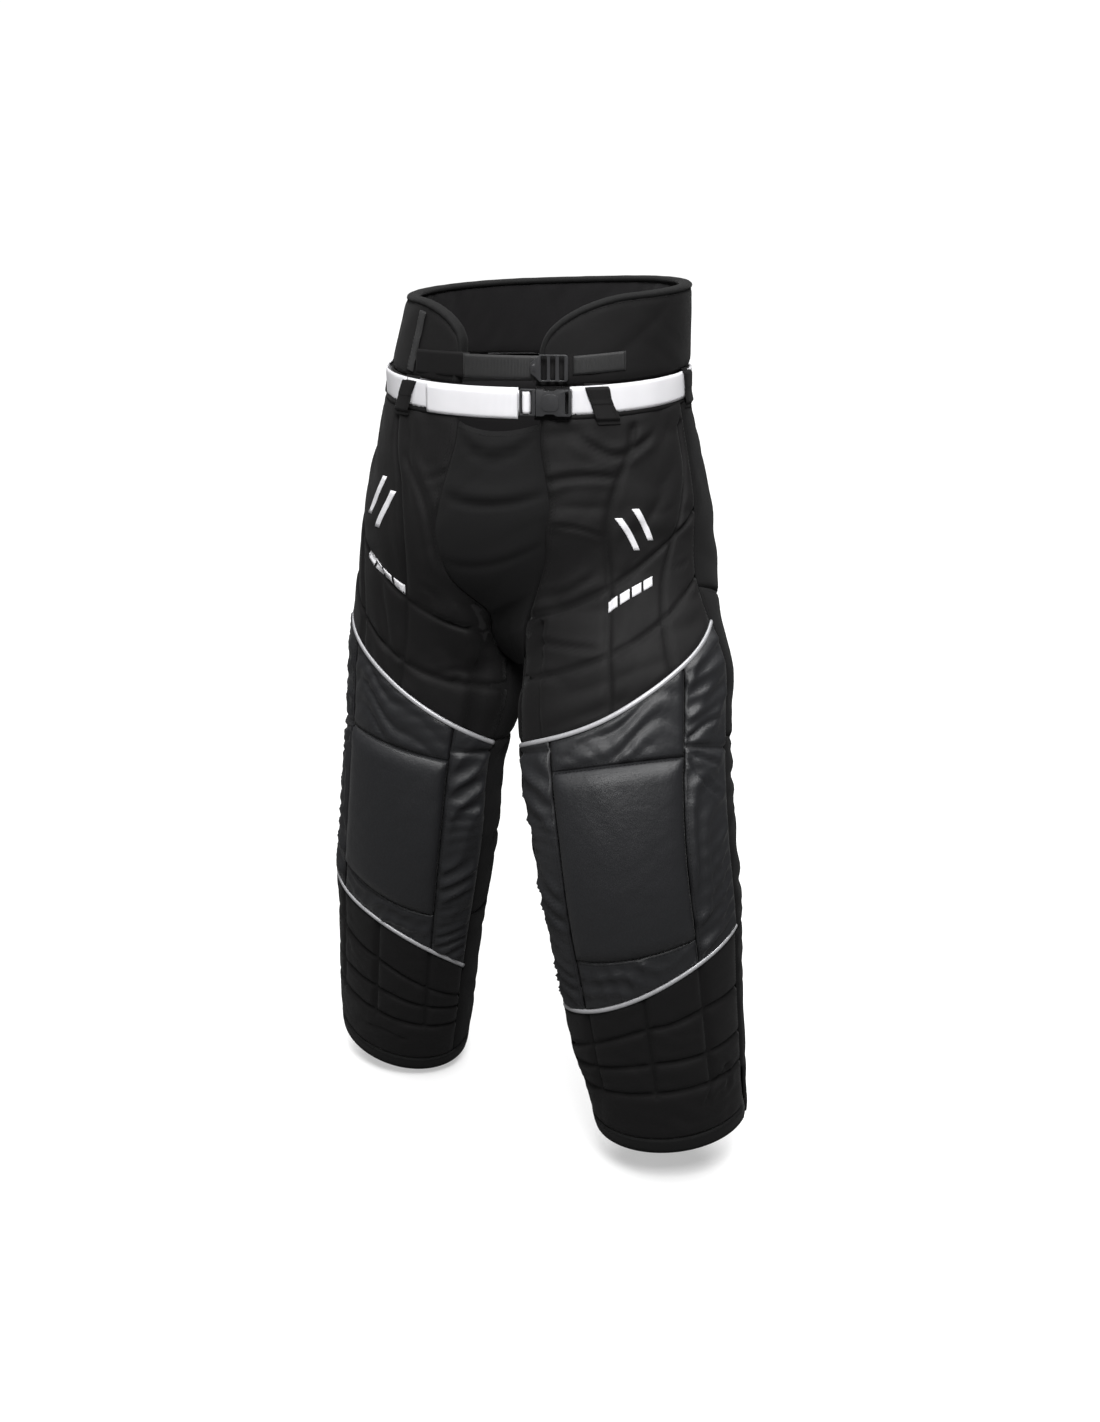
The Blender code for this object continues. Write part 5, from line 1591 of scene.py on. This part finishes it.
def add_camera():
    """A camera a little to the wearer's left and above, aimed at the middle of the pants."""
    azimuth, elevation = radians(CAMERA["azimuth"]), radians(CAMERA["elevation"])
    back = Vector((sin(azimuth) * cos(elevation), -cos(azimuth) * cos(elevation), sin(elevation)))
    target = Vector((cos(azimuth), sin(azimuth), 0)) * CAMERA["across"] + Vector((0, 0, CAMERA["height"]))
    data = bpy.data.cameras.new("camera")
    data.lens = CAMERA["lens"]
    data.sensor_width = 36.0
    made = link("camera", data)
    made.location = target + back * CAMERA["distance"]
    made.rotation_euler = back.to_track_quat("Z", "Y").to_euler()
    bpy.context.scene.camera = made


# name, place, size and power of each lamp
LAMPS = (("key", (0.85, -2.15, 1.85), 1.0, 102), ("fill", (-2.0, -2.0, 0.9), 1.2, 7))
OVERHEAD_POWER, OVERHEAD_SPREAD = 3.9, radians(70)
FLOOR_DROP, FLOOR_REACH = 0.012, 15
SKY_LIGHT, SKY_SEEN = 0.16, 1.05
FLOOR_BOUNCE = (0.10, 0.10, 0.10)
FLOOR_GLOW = 0.42      # evens out the floor that the camera sees, so the contact shadow stays faint


def add_floor():
    """A pale floor; it looks lighter to the camera than the light it throws back on the pants."""
    ground = bpy.data.meshes.new("floor")
    level = CAD_BOX[0][2] - FLOOR_DROP
    corners = [(x * FLOOR_REACH, y * FLOOR_REACH, level) for x, y in ((-1, -1), (1, -1), (1, 1), (-1, 1))]
    ground.from_pydata(corners, [], [(0, 1, 2, 3)])
    made = link("floor", ground)
    shader = Shader("floor", Roughness=0.9)
    seen = shader.node("ShaderNodeLightPath").outputs["Is Camera Ray"]
    pale = shader.mix(shader.noise(3, 2.0), (0.56, 0.56, 0.56), (0.60, 0.60, 0.60))
    shader.colour(shader.mix(seen, FLOOR_BOUNCE, pale))
    shader.glow(shader.math("MULTIPLY", seen, FLOOR_GLOW))
    ground.materials.append(MATERIALS["floor"])


def add_sky():
    """A white surround, dimmer as a light than as a background."""
    world = bpy.data.worlds.new("studio")
    bpy.context.scene.world = world
    world.use_nodes = True
    nodes, links = world.node_tree.nodes, world.node_tree.links
    sky = nodes["Background"]
    sky.inputs["Color"].default_value = (1, 1, 1, 1)
    strength = nodes.new("ShaderNodeMapRange")
    strength.inputs["To Min"].default_value = SKY_LIGHT
    strength.inputs["To Max"].default_value = SKY_SEEN
    links.new(nodes.new("ShaderNodeLightPath").outputs["Is Camera Ray"], strength.inputs["Value"])
    links.new(strength.outputs[0], sky.inputs["Strength"])


def add_lamps():
    overhead = bpy.data.lights.new("overhead", "SUN")
    overhead.energy = OVERHEAD_POWER
    overhead.angle = OVERHEAD_SPREAD
    link("overhead", overhead)
    for name, place, size, power in LAMPS:
        data = bpy.data.lights.new(name, "AREA")
        data.size = size
        data.energy = power
        lamp = link(name, data)
        lamp.location = place
        lamp.rotation_euler = (Vector((0, 0, -0.4)) - Vector(place)).to_track_quat("-Z", "Y").to_euler()


def collar_shells():
    outer = collar_shell("collar_cloth", "collar_outer_shell", "microfibre", 0.0002, 1,
                         ((88, 0.120, 0.0010), (10, 0.06, 0.0007)), slack=0.02, swell=0.8, hold=0.10,
                         cap=0.004, thick=0.0014, fill=0.8)
    inner = collar_shell("collar_lining_cloth", "collar_lining", "lining", -0.0125, -1,
                         ((82, 0.022, 0.0016), (70, 0.045, 0.0020)), slack=0.06, swell=0.8, hold=0.05,
                         cap=0.005, thick=0.0012)
    return outer, inner


def main():
    """The covers first, as one simulation, then the pieces that are laid on or behind them."""
    bpy.context.scene.view_settings.view_transform = "Standard"
    make_materials()
    add_camera()
    add_floor()
    add_sky()
    add_lamps()
    covers = {side: leg_covers(word, side) for word, side in SIDES}
    gusset = gusset_panel()
    collar_outer, collar_inner = collar_shells()
    simulate(PANELS)
    for panel in PANELS:
        panel.finish()
    for word, side in SIDES:
        piping(word, side, "upper", upper_piping(side))
        piping(word, side, "lower", lower_piping(side))
        leg_lining(word, side)
        crotch_patch(word, side)
        leg_foams(word, side)
        leg_stitches(word, side, covers[side])
        printed_mark(f"{word}_thigh_mark", covers[side]["thigh"], side)
    stitches("gusset_stitching", seam_runs(gusset, GUSSET_STITCHES), body_follow)
    stitches("collar_stitching", seam_runs(collar_outer, COLLAR_STITCHES)
             + seam_runs(collar_inner, COLLAR_STITCHES), body_follow)
    seat_tape()
    collar_binding()
    collar_core()
    waistband()
    belt()
    belt_loops()
    strap()
    buckle()
    lock()


main()
